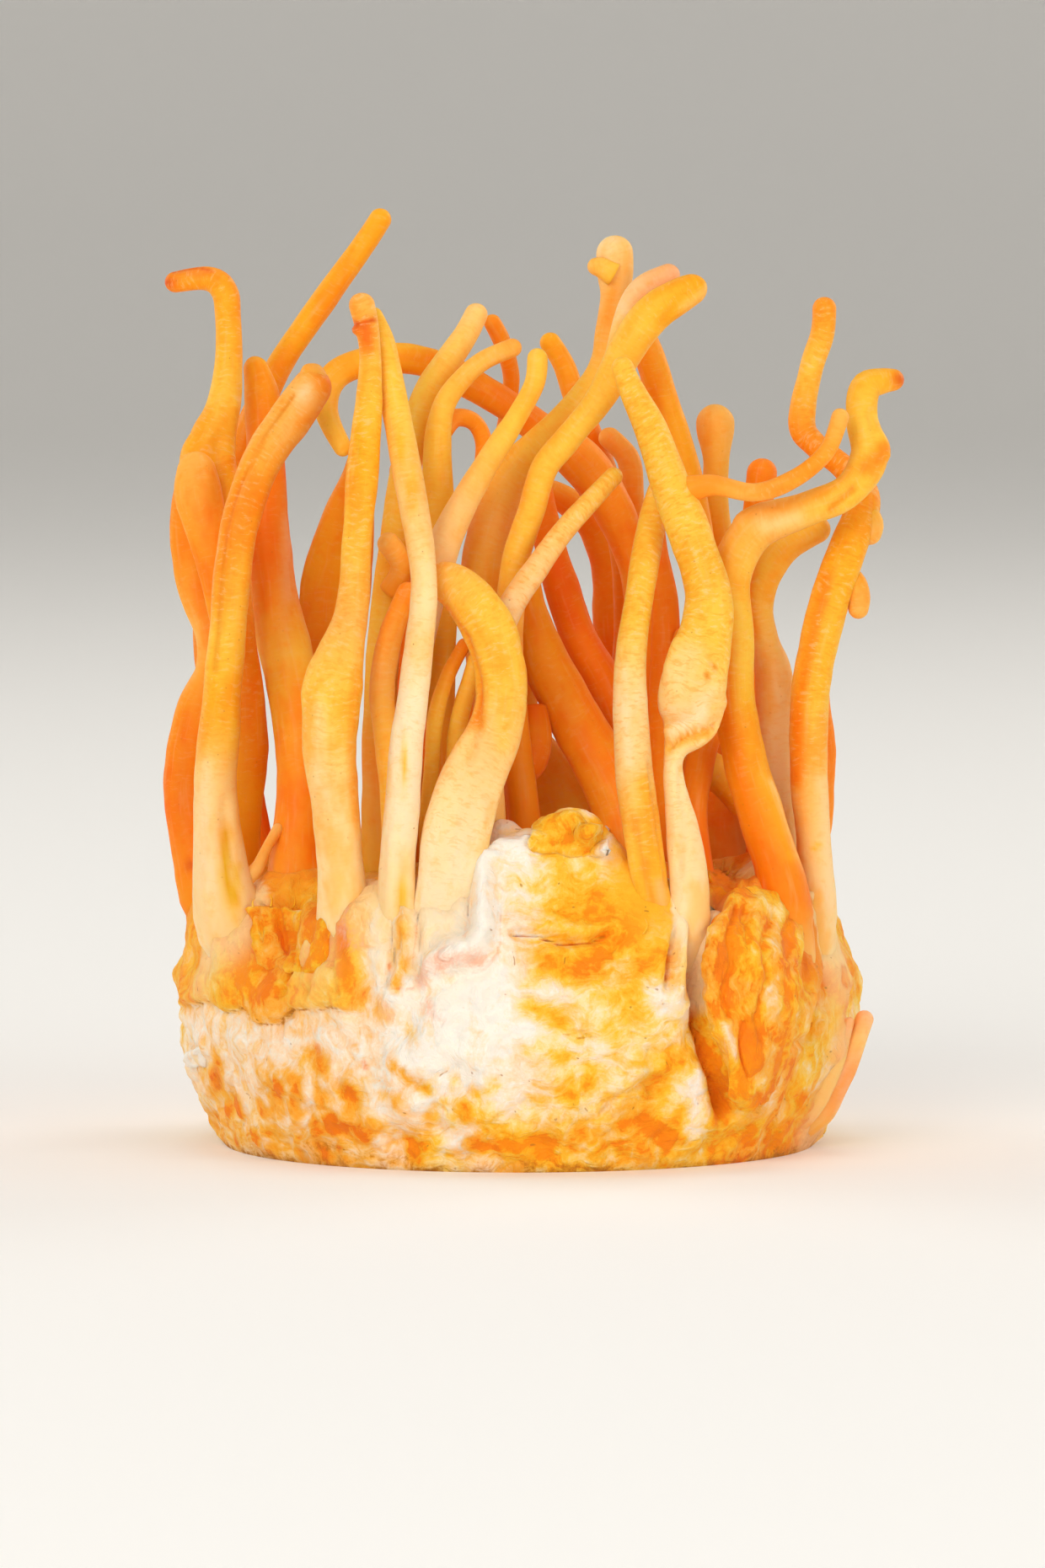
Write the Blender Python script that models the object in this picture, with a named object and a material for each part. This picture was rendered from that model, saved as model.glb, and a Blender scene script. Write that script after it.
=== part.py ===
# Cordyceps bunch: wavy orange stalks on a round cake of mycelium and grain.
# Metres, +Z up. The bunch stands on the cake's flat underside, and -Y is its front.

import math

import bmesh
import bpy
import numpy as np
from mathutils import Vector, noise

# Driving dimensions, in millimetres
MM = 0.001
CAKE_RADIUS = 36.5
CAKE_ACROSS = -0.8
CAKE_BASE_RADIUS = 32.3
CAKE_RIM_HEIGHT = 25.5
CAKE_TOP_HEIGHT = 29.0
GAP = 0.4

# The stalks are drawn as the front view shows them: across, up, and how far back each point lies
VIEW_TILT = math.radians(4.0)
VIEW_DISTANCE = 1200.0
VIEW_CENTRE_HEIGHT = 38.8
VIEW_CENTRE_SEEN = 41.8
MIDDLE_ACROSS = 0.5
MIDDLE_BACK = 0.73

# The skin's way out is taken from a middle inside the cake, and leans upward on its top
SKIN_MIDDLE = 13.0
SKIN_UPRIGHT = 0.9
SKIN_TOP = 26.0
SKIN_LEAN = 0.4
BROAD_WAVES = (0.11, 0.9)
SMALL_WAVES = (0.27, 0.5)

# Fineness of the solids; a tip's last rings are counted in its own radius
STALK_SIDES = 8
THIN_SIDES = 6
THIN_WIDTH = 2.6
LONG_STRETCH = 11.5
TIP_CLEAR = 1.6
TIP_LAST = 0.32
CURVE_STEPS = 20
SLOPE_STEP = 0.02
CAKE_SEGMENTS = 44
CAKE_CROWDING = 0.25

ORANGE = (1.0, 0.45, 0.08)
YELLOW = (1.0, 0.55, 0.14)
PALE = (1.0, 0.70, 0.38)
DEEP = (0.93, 0.27, 0.03)
CREAM = (0.94, 0.80, 0.62)


def seen(across, up, back):
    """The place, in metres, of a point drawn in the front view."""
    spread = 1.0 + back / VIEW_DISTANCE
    rise = (up - VIEW_CENTRE_SEEN) * spread - back * math.sin(VIEW_TILT)
    height = VIEW_CENTRE_HEIGHT + rise / math.cos(VIEW_TILT)
    return Vector((across * spread - MIDDLE_ACROSS, back - MIDDLE_BACK, height)) * MM


# Each stalk runs from its foot in the cake to its tip: across, up, back, width, and where the
# stalk is a blade its depth as a share of its width and its turn in degrees.
STALKS = {
    "outer_left_stalk": (DEEP, [
        (-31.5, 20, -3, 5.0, 0.8), (-33.2, 26, -3, 4.8, 0.8), (-35.3, 32, -2, 4.8, 0.7),
        (-36.4, 38, -1, 4.9, 0.7), (-36.7, 43, 0, 4.6, 0.7), (-35.8, 49, 0, 4.6, 0.7),
        (-33.9, 54, 0, 3.6), (-34.0, 58, 0, 3.6), (-35.3, 63, 0, 4.6, 0.7),
        (-36.0, 69, 0, 4.8, 0.7), (-35.8, 74, 0, 4.2, 0.7), (-35.0, 77.5, 0, 2.6)]),
    "crook_stalk": (YELLOW, [
        (-30.5, 22, -9, 4.6, 0.8), (-31.2, 30, -9, 4.4, 0.8), (-31.0, 38, -9, 4.6, 0.7),
        (-30.4, 46, -9.5, 5.0, 0.7), (-30.6, 53, -10.5, 4.2, 0.8), (-31.6, 60, -11, 4.4, 0.8),
        (-32.6, 67, -10.5, 5.0, 0.7), (-34.4, 75.6, -8, 6.2, 0.6), (-33.9, 79, -7, 4.9, 0.8),
        (-32.7, 82.4, -6.5, 3.7), (-32.1, 87, -6, 3.0), (-32.1, 91.5, -5, 2.8),
        (-32.5, 94.8, -4.5, 2.9), (-34.5, 96.2, -4, 2.6), (-38.9, 95.6, -4, 2.2)]),
    "left_flap": (DEEP, [
        (-32.2, 56, -14.2, 2.0, 0.8), (-33.4, 62, -14.4, 2.6, 0.7), (-34.3, 68, -14.2, 4.0, 0.5),
        (-35.3, 73, -13.4, 5.2, 0.4), (-35.7, 77.6, -12.8, 3.4, 0.5)]),
    "leaning_stalk": (ORANGE, [
        (-27.0, 24, 6, 4.0), (-29.0, 34, 6, 3.6), (-31.0, 46, 6, 3.4), (-32.4, 58, 6.5, 3.3),
        (-32.0, 70, 7, 3.2), (-30.2, 79, 7.5, 3.1), (-26.7, 86.7, 8, 2.9),
        (-21.5, 94.3, 8.5, 2.7), (-17.4, 100.0, 9, 2.5), (-15.1, 103.5, 9, 2.4)]),
    "pointed_stalk": (DEEP, [
        (-24.5, 22, -16, 6.2, 0.8), (-24.9, 30, -15, 5.8, 0.8), (-24.7, 37, -14, 5.0, 0.8),
        (-24.4, 45, -13, 5.4, 0.7), (-25.4, 53, -9.5, 5.6, 0.7), (-27.0, 61, -6.5, 5.2, 0.8),
        (-27.8, 69, -4.5, 4.6, 0.8), (-28.1, 77, -2.5, 4.2, 0.8), (-28.4, 83, -1, 3.9, 0.8),
        (-29.5, 87.8, 0, 2.2)]),
    "left_club_stalk": (YELLOW, [
        (-30.0, 22, -13, 5.6, 0.8), (-32.3, 28, -17.5, 6.8, 0.8), (-33.2, 34, -19, 5.6, 0.8),
        (-33.6, 42, -20, 4.6), (-32.9, 50, -20.5, 4.2), (-32.3, 58, -20.5, 4.0),
        (-31.6, 66, -20, 4.0), (-30.3, 72, -19, 4.0), (-28.0, 77.5, -18, 4.2),
        (-25.1, 81.5, -17, 4.4), (-21.9, 86.2, -16, 4.1)]),
    "brown_back_stalk": (DEEP, [
        (-18.5, 22, 2, 5.0, 0.8), (-20.0, 32, 3, 5.0, 0.8), (-21.0, 44, 4, 5.2, 0.7),
        (-21.4, 54, 5, 6.0, 0.6), (-21.4, 62, 5, 6.2, 0.6), (-20.2, 69, 4, 4.8, 0.7),
        (-18.4, 75, 3, 3.0), (-17.2, 79.5, 2, 2.4)]),
    "front_tall_stalk": (YELLOW, [
        (-18.0, 17, -24, 5.6), (-19.3, 24, -27.5, 5.4), (-20.0, 31, -29, 4.9),
        (-20.6, 38, -30, 5.1), (-21.3, 46, -30, 5.7), (-20.7, 53, -30, 6.3, 0.8),
        (-18.9, 60, -29, 3.6), (-18.3, 68, -28, 3.1), (-17.6, 76, -27, 3.4),
        (-17.0, 83, -26, 2.8), (-16.9, 89, -25, 2.3), (-18.1, 94.6, -24.5, 2.9)]),
    "front_side_stalk": (PALE, [
        (-12.9, 18, -27, 4.0), (-13.9, 26, -30.5, 4.0), (-13.9, 33, -31.5, 3.8),
        (-13.4, 40, -32, 3.8), (-12.9, 47, -32, 3.5), (-11.8, 55, -31.5, 3.2),
        (-11.0, 63, -30.5, 2.8), (-12.0, 71, -29, 3.2), (-13.3, 78, -26.0, 3.1),
        (-14.6, 85, -23.6, 2.8), (-15.4, 89.5, -22.3, 2.2), (-16.8, 93.0, -21.2, 1.8)]),
    "bowed_stalk": (YELLOW, [
        (-12.6, 24, -25, 3.2), (-13.8, 32, -26, 3.0), (-14.4, 40, -26, 2.7),
        (-15.0, 46, -26, 2.7), (-15.6, 52, -26, 2.8), (-14.6, 58, -26, 2.6),
        (-12.4, 63.5, -25.5, 2.2)]),
    "arch_stalk": (DEEP, [
        (11.0, 22, 2, 4.2), (12.4, 34, 2, 3.8), (13.0, 46, 1, 3.6), (12.6, 58, 0, 3.6),
        (11.4, 66, -1, 3.6), (9.0, 72, -1.5, 4.6), (5.6, 76.8, -2, 4.8), (1.2, 80.2, -3, 3.6),
        (-4.5, 84, -4, 3.4), (-10.5, 87.1, -5, 3.3), (-16.0, 87.5, -6, 3.2),
        (-20.6, 85.8, -7.5, 3.1), (-21.6, 82, -9, 2.5), (-19.4, 77.2, -11, 1.9)]),
    "capped_stalk": (YELLOW, [
        (-14.0, 22, -16, 4.4), (-15.6, 33, -17.5, 4.0), (-15.9, 44, -17.5, 3.8),
        (-15.5, 55, -17, 3.6), (-14.4, 65, -16.5, 3.5), (-13.5, 73, -15.5, 3.3),
        (-12.2, 79.5, -14, 3.2), (-10.4, 84.4, -12.5, 3.0), (-8.2, 87.7, -11.5, 2.9),
        (-6.4, 90.4, -10.5, 2.6), (-4.9, 93.4, -10, 2.5)]),
    "capped_prong": (PALE, [
        (-7.6, 26, -19, 3.4), (-8.6, 38, -19, 3.2), (-9.3, 50, -18.5, 3.2),
        (-9.3, 62, -18, 3.4), (-9.5, 71, -17.5, 3.4), (-9.6, 77.8, -17, 3.0),
        (-9.1, 81.9, -17, 2.4), (-7.4, 84.8, -16.5, 2.2), (-4.6, 87.4, -16, 2.1),
        (-0.6, 89.1, -16, 1.9)]),
    "thin_drop_stalk": (ORANGE, [
        (-5.0, 30, 5, 3.0), (-5.2, 46, 5, 2.8), (-5.0, 60, 4, 2.6), (-4.2, 70, 3, 2.4),
        (-2.7, 78, 2, 2.0), (-1.7, 84.3, 0.5, 1.8), (-2.0, 87.4, -2, 1.8),
        (-2.9, 89.9, -4, 1.9), (-4.1, 92.1, -5.5, 1.8)]),
    "pale_diagonal_stalk": (PALE, [
        (-11.5, 26, -22.5, 3.0), (-12.4, 38, -22.3, 2.8), (-12.5, 50, -22, 2.8),
        (-10.8, 60, -22, 3.0), (-9.0, 67.2, -22.5, 3.6), (-6.6, 72.4, -22, 3.1),
        (-3.6, 77.4, -21.5, 2.6), (-0.7, 82, -21, 2.3), (0.9, 85.2, -20.5, 2.2),
        (1.2, 88.7, -20, 2.2)]),
    "c_curve_stalk": (YELLOW, [
        (-9.6, 19, -28, 2.6, 0.9), (-9.4, 25, -31, 4.4, 0.6), (-8.7, 31, -32, 5.6, 0.45),
        (-7.5, 37, -31.5, 7.0, 0.4), (-5.6, 43, -30, 6.4, 0.5), (-3.2, 48.5, -29, 5.6, 0.7),
        (-2.9, 54, -28.5, 5.4, 0.8), (-4.5, 59.3, -28, 5.4, 0.8), (-7.3, 62.8, -27, 4.8, 0.8),
        (-10.6, 64.6, -25.8, 3.4)]),
    "inner_thin_stalk_left": (YELLOW, [
        (-9.6, 28, -25, 2.2), (-10.6, 36, -25.6, 2.0), (-10.3, 43, -25.6, 1.7),
        (-9.8, 49, -25.4, 1.7), (-8.4, 53.6, -25, 1.6), (-6.4, 57.4, -24, 1.5)]),
    "inner_thin_stalk_right": (YELLOW, [
        (-7.0, 28, -24.5, 2.4), (-8.2, 36, -25, 2.2), (-7.9, 43, -25, 2.0),
        (-7.2, 49, -25, 2.0), (-6.0, 53.2, -25, 1.8), (-5.3, 56.0, -24.8, 1.6)]),
    "long_club_stalk": (YELLOW, [
        (-2.0, 26, -11, 4.4), (-3.0, 38, -12, 4.0), (-3.8, 50, -13, 4.0), (-4.9, 61, -13.5, 4.4),
        (-4.2, 68.5, -13.5, 4.6), (-1.4, 75.4, -13, 4.2), (4.0, 80.9, -12, 3.4),
        (6.7, 84.2, -11, 3.0), (8.3, 87.2, -10, 2.9), (8.8, 90.6, -10, 2.9),
        (9.4, 94.0, -10, 3.1), (9.55, 96.6, -10, 4.0), (9.4, 100.8, -10, 4.0)]),
    "yellow_prong_stalk": (YELLOW, [
        (1.0, 28, -18, 3.8), (-0.8, 42, -18, 3.4), (-1.9, 55, -18, 3.2), (-1.4, 65, -18.3, 3.0),
        (0.5, 71.4, -18.5, 2.8), (1.9, 75.8, -18.5, 2.8), (4.4, 78.9, -18.5, 2.9),
        (7.8, 83.2, -18, 3.2), (10.3, 87.8, -18, 3.7), (13.2, 92, -18, 3.6),
        (16.4, 94.5, -18, 2.9), (19.5, 95.7, -18, 2.1)]),
    "ringed_stalk": (PALE, [
        (-3.6, 30, -24.5, 3.0), (-3.9, 42, -24, 2.9), (-3.9, 52, -23.5, 2.9),
        (-2.2, 59.8, -23, 2.8), (1.3, 65.4, -22, 2.6), (4.8, 70, -20.5, 2.3),
        (10.0, 75.6, -18, 1.9)]),
    "wide_back_stalk": (ORANGE, [
        (3.5, 24, 0, 12.0, 0.5), (3.4, 32, -1, 12.0, 0.45), (3.2, 38, -2, 10.4, 0.45),
        (1.9, 43, -3, 6.6, 0.6), (-0.3, 48, -3.5, 4.0), (-0.6, 54, -3.5, 3.2),
        (-0.4, 60.5, -3.5, 2.4)]),
    "dark_slanting_stalk": (DEEP, [
        (11.4, 24, -9, 4.0), (12.0, 34, -9, 3.8), (11.4, 43, -8.5, 3.8), (9.2, 51, -8.5, 4.0),
        (5.7, 57.6, -8.5, 3.8), (3.3, 64.5, -8.5, 3.6), (1.8, 71, -8.5, 3.0),
        (0.9, 78.6, -8, 2.4)]),
    "broad_slanting_stalk": (DEEP, [
        (10.6, 22, -18, 4.6), (10.9, 30, -17, 5.0), (10.2, 38, -16, 5.6, 0.8),
        (7.7, 44.4, -15, 5.8, 0.8), (4.6, 50, -14, 5.6, 0.8), (1.6, 56, -13.5, 5.0, 0.8),
        (0.2, 61, -13, 3.6), (0.0, 66.5, -12.5, 2.4)]),
    "back_tip_stalk": (ORANGE, [
        (7.5, 26, 13.6, 4.0), (9.5, 42, 14, 3.8), (11.0, 55, 13, 3.6), (10.8, 65, 11, 3.4),
        (9.0, 73, 9, 3.1), (7.0, 79, 7, 2.8), (5.2, 83.2, 6, 2.5), (3.9, 87.0, 6, 2.4),
        (1.9, 90.2, 6, 2.3)]),
    "back_hook_stalk": (DEEP, [
        (12.0, 26, 20, 4.2), (12.2, 38, 20, 4.2), (11.4, 50, 20, 4.2), (9.4, 58, 19, 4.4),
        (9.2, 64, 18, 4.2), (7.4, 69.2, 17, 3.8), (4.6, 72, 16, 3.2), (1.6, 73.8, 16, 2.4)]),
    "small_tip_stalk": (ORANGE, [
        (13.4, 28, 8, 3.2), (13.8, 42, 7, 3.0), (13.0, 55, 6, 2.8), (11.4, 66, 5, 2.6),
        (11.3, 73, 4.5, 2.6), (10.8, 77, 4.5, 2.5), (8.0, 79.8, 4.5, 2.3)]),
    "front_right_stalk": (YELLOW, [
        (14.0, 19, -26, 2.8), (13.8, 27, -29.5, 3.2), (13.3, 31, -30, 3.6),
        (12.4, 37, -29.5, 3.9), (11.7, 43, -29, 3.9), (11.2, 49.5, -28, 3.7),
        (11.3, 56, -27, 3.3), (12.3, 63, -25, 3.1), (13.3, 69, -22, 3.1), (14.6, 74.5, -19.5, 2.4)]),
    "shaded_stalk": (DEEP, [
        (15.4, 24, -13.5, 3.8), (15.3, 34, -14.5, 3.2), (14.8, 44, -15, 3.2),
        (14.9, 54, -15.5, 3.2), (14.9, 61, -15, 2.9), (14.0, 67, -14, 2.5),
        (13.6, 71.5, -13.5, 2.0)]),
    "twisted_blade_stalk": (YELLOW, [
        (17.6, 18, -26, 3.4), (17.5, 25, -29, 3.6), (17.5, 31, -29.5, 4.0),
        (16.9, 36.6, -29, 3.5), (15.9, 42, -28.5, 2.2), (16.0, 45.2, -28, 2.4),
        (17.6, 48.4, -27, 6.4, 0.4, 18), (17.9, 52.4, -27, 7.0, 0.4, 8),
        (19.2, 57.4, -26.5, 5.6, 0.7), (19.6, 62.4, -26, 4.7), (17.8, 68, -25.5, 4.5),
        (15.6, 73.8, -24.5, 4.2), (13.5, 79.6, -23.8, 3.6), (11.4, 84, -22.8, 2.8),
        (9.9, 87.7, -21.9, 2.3)]),
    "shoulder_stalk": (ORANGE, [
        (18.6, 22, -17, 4.0), (18.1, 32, -18.4, 3.6), (17.9, 39, -17.5, 3.2),
        (18.8, 44.4, -15, 3.2), (19.8, 49.5, -11, 3.4), (19.6, 57, -7, 3.6),
        (18.6, 66, -6, 3.7), (17.2, 74.5, -6, 3.6), (15.0, 82, -6, 3.4), (13.3, 87.6, -6, 3.3),
        (11.6, 92, -6, 2.8)]),
    "knob_stalk": (ORANGE, [
        (22.0, 20, 0, 7.0, 0.7), (22.0, 30, 0, 6.4, 0.7), (21.6, 37, 1, 5.4, 0.8),
        (21.2, 44, 2, 4.2), (22.0, 53, 3, 3.6), (21.3, 63, 2, 3.3), (20.3, 71, 0, 3.0),
        (20.4, 76.5, -1, 2.8), (20.3, 79.9, -1, 4.0), (20.2, 82.7, -1, 3.8)]),
    "round_tip_stalk": (ORANGE, [
        (26.0, 24, -3, 3.8), (25.4, 36, -3, 3.4), (24.4, 48, -3, 3.2), (23.8, 60, -3.5, 3.2),
        (24.6, 69, -6, 3.2), (25.5, 76.8, -8, 3.3)]),
    "antler_stalk": (ORANGE, [
        (27.6, 22, -17, 5.6), (27.4, 31, -19.5, 5.2), (25.4, 38, -20, 4.9),
        (23.6, 44, -20, 4.6), (22.4, 51, -20, 4.5), (22.2, 58, -20, 4.5), (21.9, 64, -20, 4.5),
        (24.6, 69.0, -20.5, 4.5), (30.2, 71.4, -21, 3.7), (34.6, 73.4, -21, 3.7),
        (36.9, 77.2, -20.5, 4.0), (36.1, 81.2, -20, 3.4), (36.4, 84.4, -19.5, 3.3),
        (38.3, 85.2, -18.5, 2.7), (40.5, 85.3, -17.5, 2.0)]),
    "right_inner_stalk": (YELLOW, [
        (28.0, 22, -9, 4.4), (27.4, 32, -10, 4.2), (26.9, 41, -10.5, 4.2),
        (26.7, 48, -10.5, 4.2), (26.6, 53.6, -10.5, 4.0), (25.4, 57.5, -10.5, 3.3),
        (24.95, 61, -10.5, 3.1), (25.9, 64.6, -10.5, 3.3), (28.2, 67.6, -10.5, 3.2),
        (32.6, 69.8, -10, 2.8)]),
    "outer_right_stalk": (YELLOW, [
        (30.6, 20, -10.5, 3.6), (31.4, 28, -13, 3.6), (31.0, 35, -14.5, 3.7),
        (30.4, 43, -15, 4.1), (30.6, 52, -15, 4.1), (32.2, 60, -15, 4.2),
        (34.5, 67, -14.5, 4.2), (36.3, 72.4, -12.5, 3.6), (34.4, 75.6, -10.5, 2.7),
        (31.0, 78.3, -8.5, 2.7), (29.6, 80.7, -7.5, 2.9), (30.6, 86.4, -7, 2.6),
        (31.9, 90.6, -6.5, 2.7), (32.0, 94.2, -6.5, 2.7)]),
    "rear_stalk_1": (DEEP, [
        (-28.0, 26, 16, 4.4), (-31.5, 38, 16, 4.0), (-33.6, 50, 15, 3.6),
        (-34.2, 61, 13, 3.6), (-34.4, 72, 11, 3.2)]),
    "rear_stalk_2": (ORANGE, [
        (-19.0, 26, 22, 4.6), (-21.4, 38, 22, 4.2), (-21.5, 50, 20, 4.0), (-19.3, 61, 17, 3.6),
        (-18.7, 72, 14, 3.2)]),
    "rear_stalk_3": (DEEP, [
        (-9.0, 28, 27, 4.8), (-11.5, 41, 27, 4.2), (-13.0, 54, 25, 4.0), (-12.9, 66, 22, 3.6),
        (-13.4, 77, 19, 3.0)]),
    "rear_stalk_4": (ORANGE, [
        (0.0, 28, 28, 4.6), (-2.0, 42, 28, 4.2), (-2.6, 55, 26, 4.0), (-3.2, 66, 22, 3.6),
        (-2.0, 75, 19, 3.2)]),
    "rear_stalk_5": (DEEP, [
        (14.0, 26, 28, 4.6), (13.2, 39, 29, 4.4), (12.6, 52, 28, 4.0), (12.6, 62, 26, 3.4),
        (12.8, 69, 24, 3.0)]),
    "rear_stalk_6": (ORANGE, [
        (23.0, 26, 20, 4.6), (22.6, 38, 20, 4.2), (22.6, 50, 19, 3.9), (23.6, 61, 16, 3.5),
        (23.2, 69.5, 13, 3.0)]),
    "rear_stalk_7": (ORANGE, [
        (27.0, 24, 9, 4.4), (30.2, 34, 8, 4.2), (31.0, 44, 5, 4.6, 0.7), (30.9, 54, 1, 3.6),
        (33.2, 62, -2, 3.4), (34.8, 69.5, -4, 3.0)]),
    "rear_stalk_8": (ORANGE, [
        (-18.6, 26, 12, 4.2), (-20.6, 40, 12.5, 3.8), (-20.6, 52, 11.5, 3.6), (-18.4, 62, 10, 3.2),
        (-17.8, 72.5, 9, 2.8)]),
    "rear_stalk_9": (YELLOW, [
        (-8.0, 26, 15, 4.0), (-11.0, 40, 16, 3.6), (-12.7, 50, 15.5, 3.4), (-12.3, 60, 14.5, 3.2),
        (-12.9, 70, 13, 2.8)]),
    "rear_stalk_10": (DEEP, [
        (3.0, 26, 17, 4.2), (0.4, 38, 18, 3.8), (-1.2, 48, 17, 3.4), (-2.4, 58, 15, 3.2),
        (-2.8, 66.5, 13, 2.8)]),
    "rear_stalk_11": (ORANGE, [
        (17.4, 24, 13, 3.6), (17.0, 34, 14, 3.2), (16.2, 42, 14, 3.0), (17.8, 51, 13.5, 3.4),
        (19.3, 59, 12, 3.2), (19.2, 67, 10, 2.8)]),
    "rear_stalk_12": (YELLOW, [
        (-23.2, 24, 9, 3.8), (-24.4, 37, 9.5, 3.4), (-24.6, 47, 9, 3.4), (-26.0, 57, 8, 3.0),
        (-27.4, 66, 7, 2.6)]),
}

# Side branches grow out of a stalk, with their foot inside it
BRANCHES = {
    "curled_bud": ("capped_stalk", YELLOW, [
        (-14.6, 62.6, -18.5, 2.2), (-13.4, 65.4, -20, 2.3), (-15.6, 68.6, -21, 2.3)]),
    "hoop_twig": ("capped_prong", ORANGE, [
        (-9.2, 79.8, -16.5, 2.0), (-7.6, 81.2, -14.5, 1.9), (-5.6, 80.7, -13, 1.9),
        (-4.6, 78.4, -12.5, 1.9), (-4.9, 75, -12.5, 1.8)]),
    "pale_prong": ("yellow_prong_stalk", PALE, [
        (9.3, 86.0, -17.3, 2.4), (10.6, 91.2, -14.5, 2.7), (12.4, 95.0, -14.5, 2.8),
        (16.4, 97.0, -14.5, 2.3)]),
    "thin_arm": ("twisted_blade_stalk", YELLOW, [
        (16.4, 73.2, -24.5, 2.8), (20.0, 74.0, -25, 2.1), (24.6, 73.2, -25.5, 1.9),
        (28.8, 74.7, -25.5, 1.9), (32.3, 77.7, -25, 1.9), (34.0, 82.2, -24.5, 1.8)]),
}

# Buds that swell out of a stalk's side and are one with it
BUDS = [
    ("outer_right_stalk", [(35.0, 64.0, -14.5, 1.6), (35.7, 61.8, -14.5, 2.0),
                           (35.6, 59.4, -14.5, 1.9)]),
    ("outer_right_stalk", [(35.8, 69.8, -13.5, 2.6), (38.6, 68.6, -13.5, 2.6)]),
    ("long_club_stalk", [(8.2, 97.6, -10.5, 1.3), (6.5, 97.3, -10.5, 1.3)]),
]

# The small finger on the cake's right flank
STUB = (ORANGE, [(32.0, 6.5, -8, 2.4), (34.6, 10.4, -10.5, 2.2), (36.9, 17.3, -11, 2.0)])


def clearScene():
    """Empties the scene before the model is made."""
    for old in list(bpy.data.objects):
        bpy.data.objects.remove(old, do_unlink=True)


def makeMaterial(name, colour, roughness):
    """A plain surface of one colour."""
    material = bpy.data.materials.new(name)
    material.use_nodes = True
    shader = material.node_tree.nodes["Principled BSDF"]
    shader.inputs["Base Color"].default_value = (*colour, 1.0)
    shader.inputs["Roughness"].default_value = roughness
    return material


def makeObject(name, verts, faces, material):
    """An object with a smooth closed mesh."""
    mesh = bpy.data.meshes.new(name)
    mesh.from_pydata([tuple(v) for v in verts], [], faces)
    mesh.materials.append(material)
    builder = bmesh.new()
    builder.from_mesh(mesh)
    bmesh.ops.recalc_face_normals(builder, faces=builder.faces)
    builder.to_mesh(mesh)
    builder.free()
    mesh.shade_smooth()
    item = bpy.data.objects.new(name, mesh)
    bpy.context.collection.objects.link(item)
    return item


def spline(values, at):
    """A smooth curve through rows of values, read at a fractional row number."""
    last = len(values) - 1
    i = min(int(at), last - 1)
    t = at - i
    p0, p1 = values[max(i - 1, 0)], values[i]
    p2, p3 = values[i + 1], values[min(i + 2, last)]
    a = 2 * p1
    b = p2 - p0
    c = 2 * p0 - 5 * p1 + 4 * p2 - p3
    d = 3 * p1 - p0 - 3 * p2 + p3
    return 0.5 * (a + b * t + c * t * t + d * t ** 3)


def stalkRows(points):
    """The drawn points as rows of x, y, z, radius, depth share and turn, in metres and radians."""
    rows = []
    for point in points:
        across, up, back, width = point[:4]
        share = point[4] if len(point) > 4 else 1.0
        turn = math.radians(point[5]) if len(point) > 5 else 0.0
        place = seen(across, up, back)
        rows.append(np.array([*place, width * MM / 2, share, turn]))
    return rows


def stations(rows):
    """Where the rings go along the curve: each one's row number and its distance from the tip."""
    fine = [i / CURVE_STEPS for i in range(CURVE_STEPS * (len(rows) - 1) + 1)]
    places = [spline(rows, at) for at in fine]
    lengths = [0.0]
    for before, after in zip(places, places[1:]):
        lengths.append(lengths[-1] + float(np.linalg.norm(after[:3] - before[:3])))
    total = lengths[-1]
    tip = float(rows[-1][3])
    wanted = [0.0]
    for number in range(1, len(rows) - 1):
        place = lengths[CURVE_STEPS * number]
        if total - place > TIP_CLEAR * tip:
            if place - wanted[-1] > LONG_STRETCH * MM:
                wanted.append((place + wanted[-1]) / 2)
            wanted.append(place)
    wanted += [total - tip, total - TIP_LAST * tip]
    ats = [float(np.interp(w, lengths, fine)) for w in wanted]
    return ats, [total - w for w in wanted]


def makeStalk(name, colour, points):
    """A stalk: rings along its curve, a flat foot and a round tip."""
    rows = stalkRows(points)
    widest = max(p[3] for p in points)
    plain = widest < THIN_WIDTH or name.startswith("rear_stalk")  # the rear ones are hardly seen
    sides = THIN_SIDES if plain else STALK_SIDES
    ats, left = stations(rows)
    end = len(rows) - 1
    verts = []
    faces = []
    for at, remaining in zip(ats, left):
        row = spline(rows, at)
        ahead = spline(rows, min(at + SLOPE_STEP, end))
        behind = spline(rows, max(at - SLOPE_STEP, 0.0))
        along = Vector(ahead[:3] - behind[:3]).normalized()
        side = along.cross(Vector((0, 1, 0))).normalized()
        deep = side.cross(along).normalized()
        tipShare = min(remaining / row[3], 1.0)
        radius = row[3] * math.sqrt(1 - (1 - tipShare) ** 2)
        radius *= 1.0 / math.cos(math.pi / sides) ** 0.5
        for k in range(sides):
            angle = 2 * math.pi * (k + 0.5) / sides
            u = math.cos(angle) * radius
            v = math.sin(angle) * radius * row[4]
            turned = (u * math.cos(row[5]) - v * math.sin(row[5]),
                      u * math.sin(row[5]) + v * math.cos(row[5]))
            verts.append(Vector(row[:3]) + side * turned[0] + deep * turned[1])
    for ring in range(len(ats) - 1):
        for k in range(sides):
            a = ring * sides + k
            b = ring * sides + (k + 1) % sides
            faces.append((a, b, b + sides, a + sides))
    faces.append(tuple(range(sides)))
    verts.append(Vector(spline(rows, end)[:3]))
    first = (len(ats) - 1) * sides
    for k in range(sides):
        faces.append((first + k, first + (k + 1) % sides, len(verts) - 1))
    return makeObject(name, verts, faces, makeMaterial(name, colour, 0.55))


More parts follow.
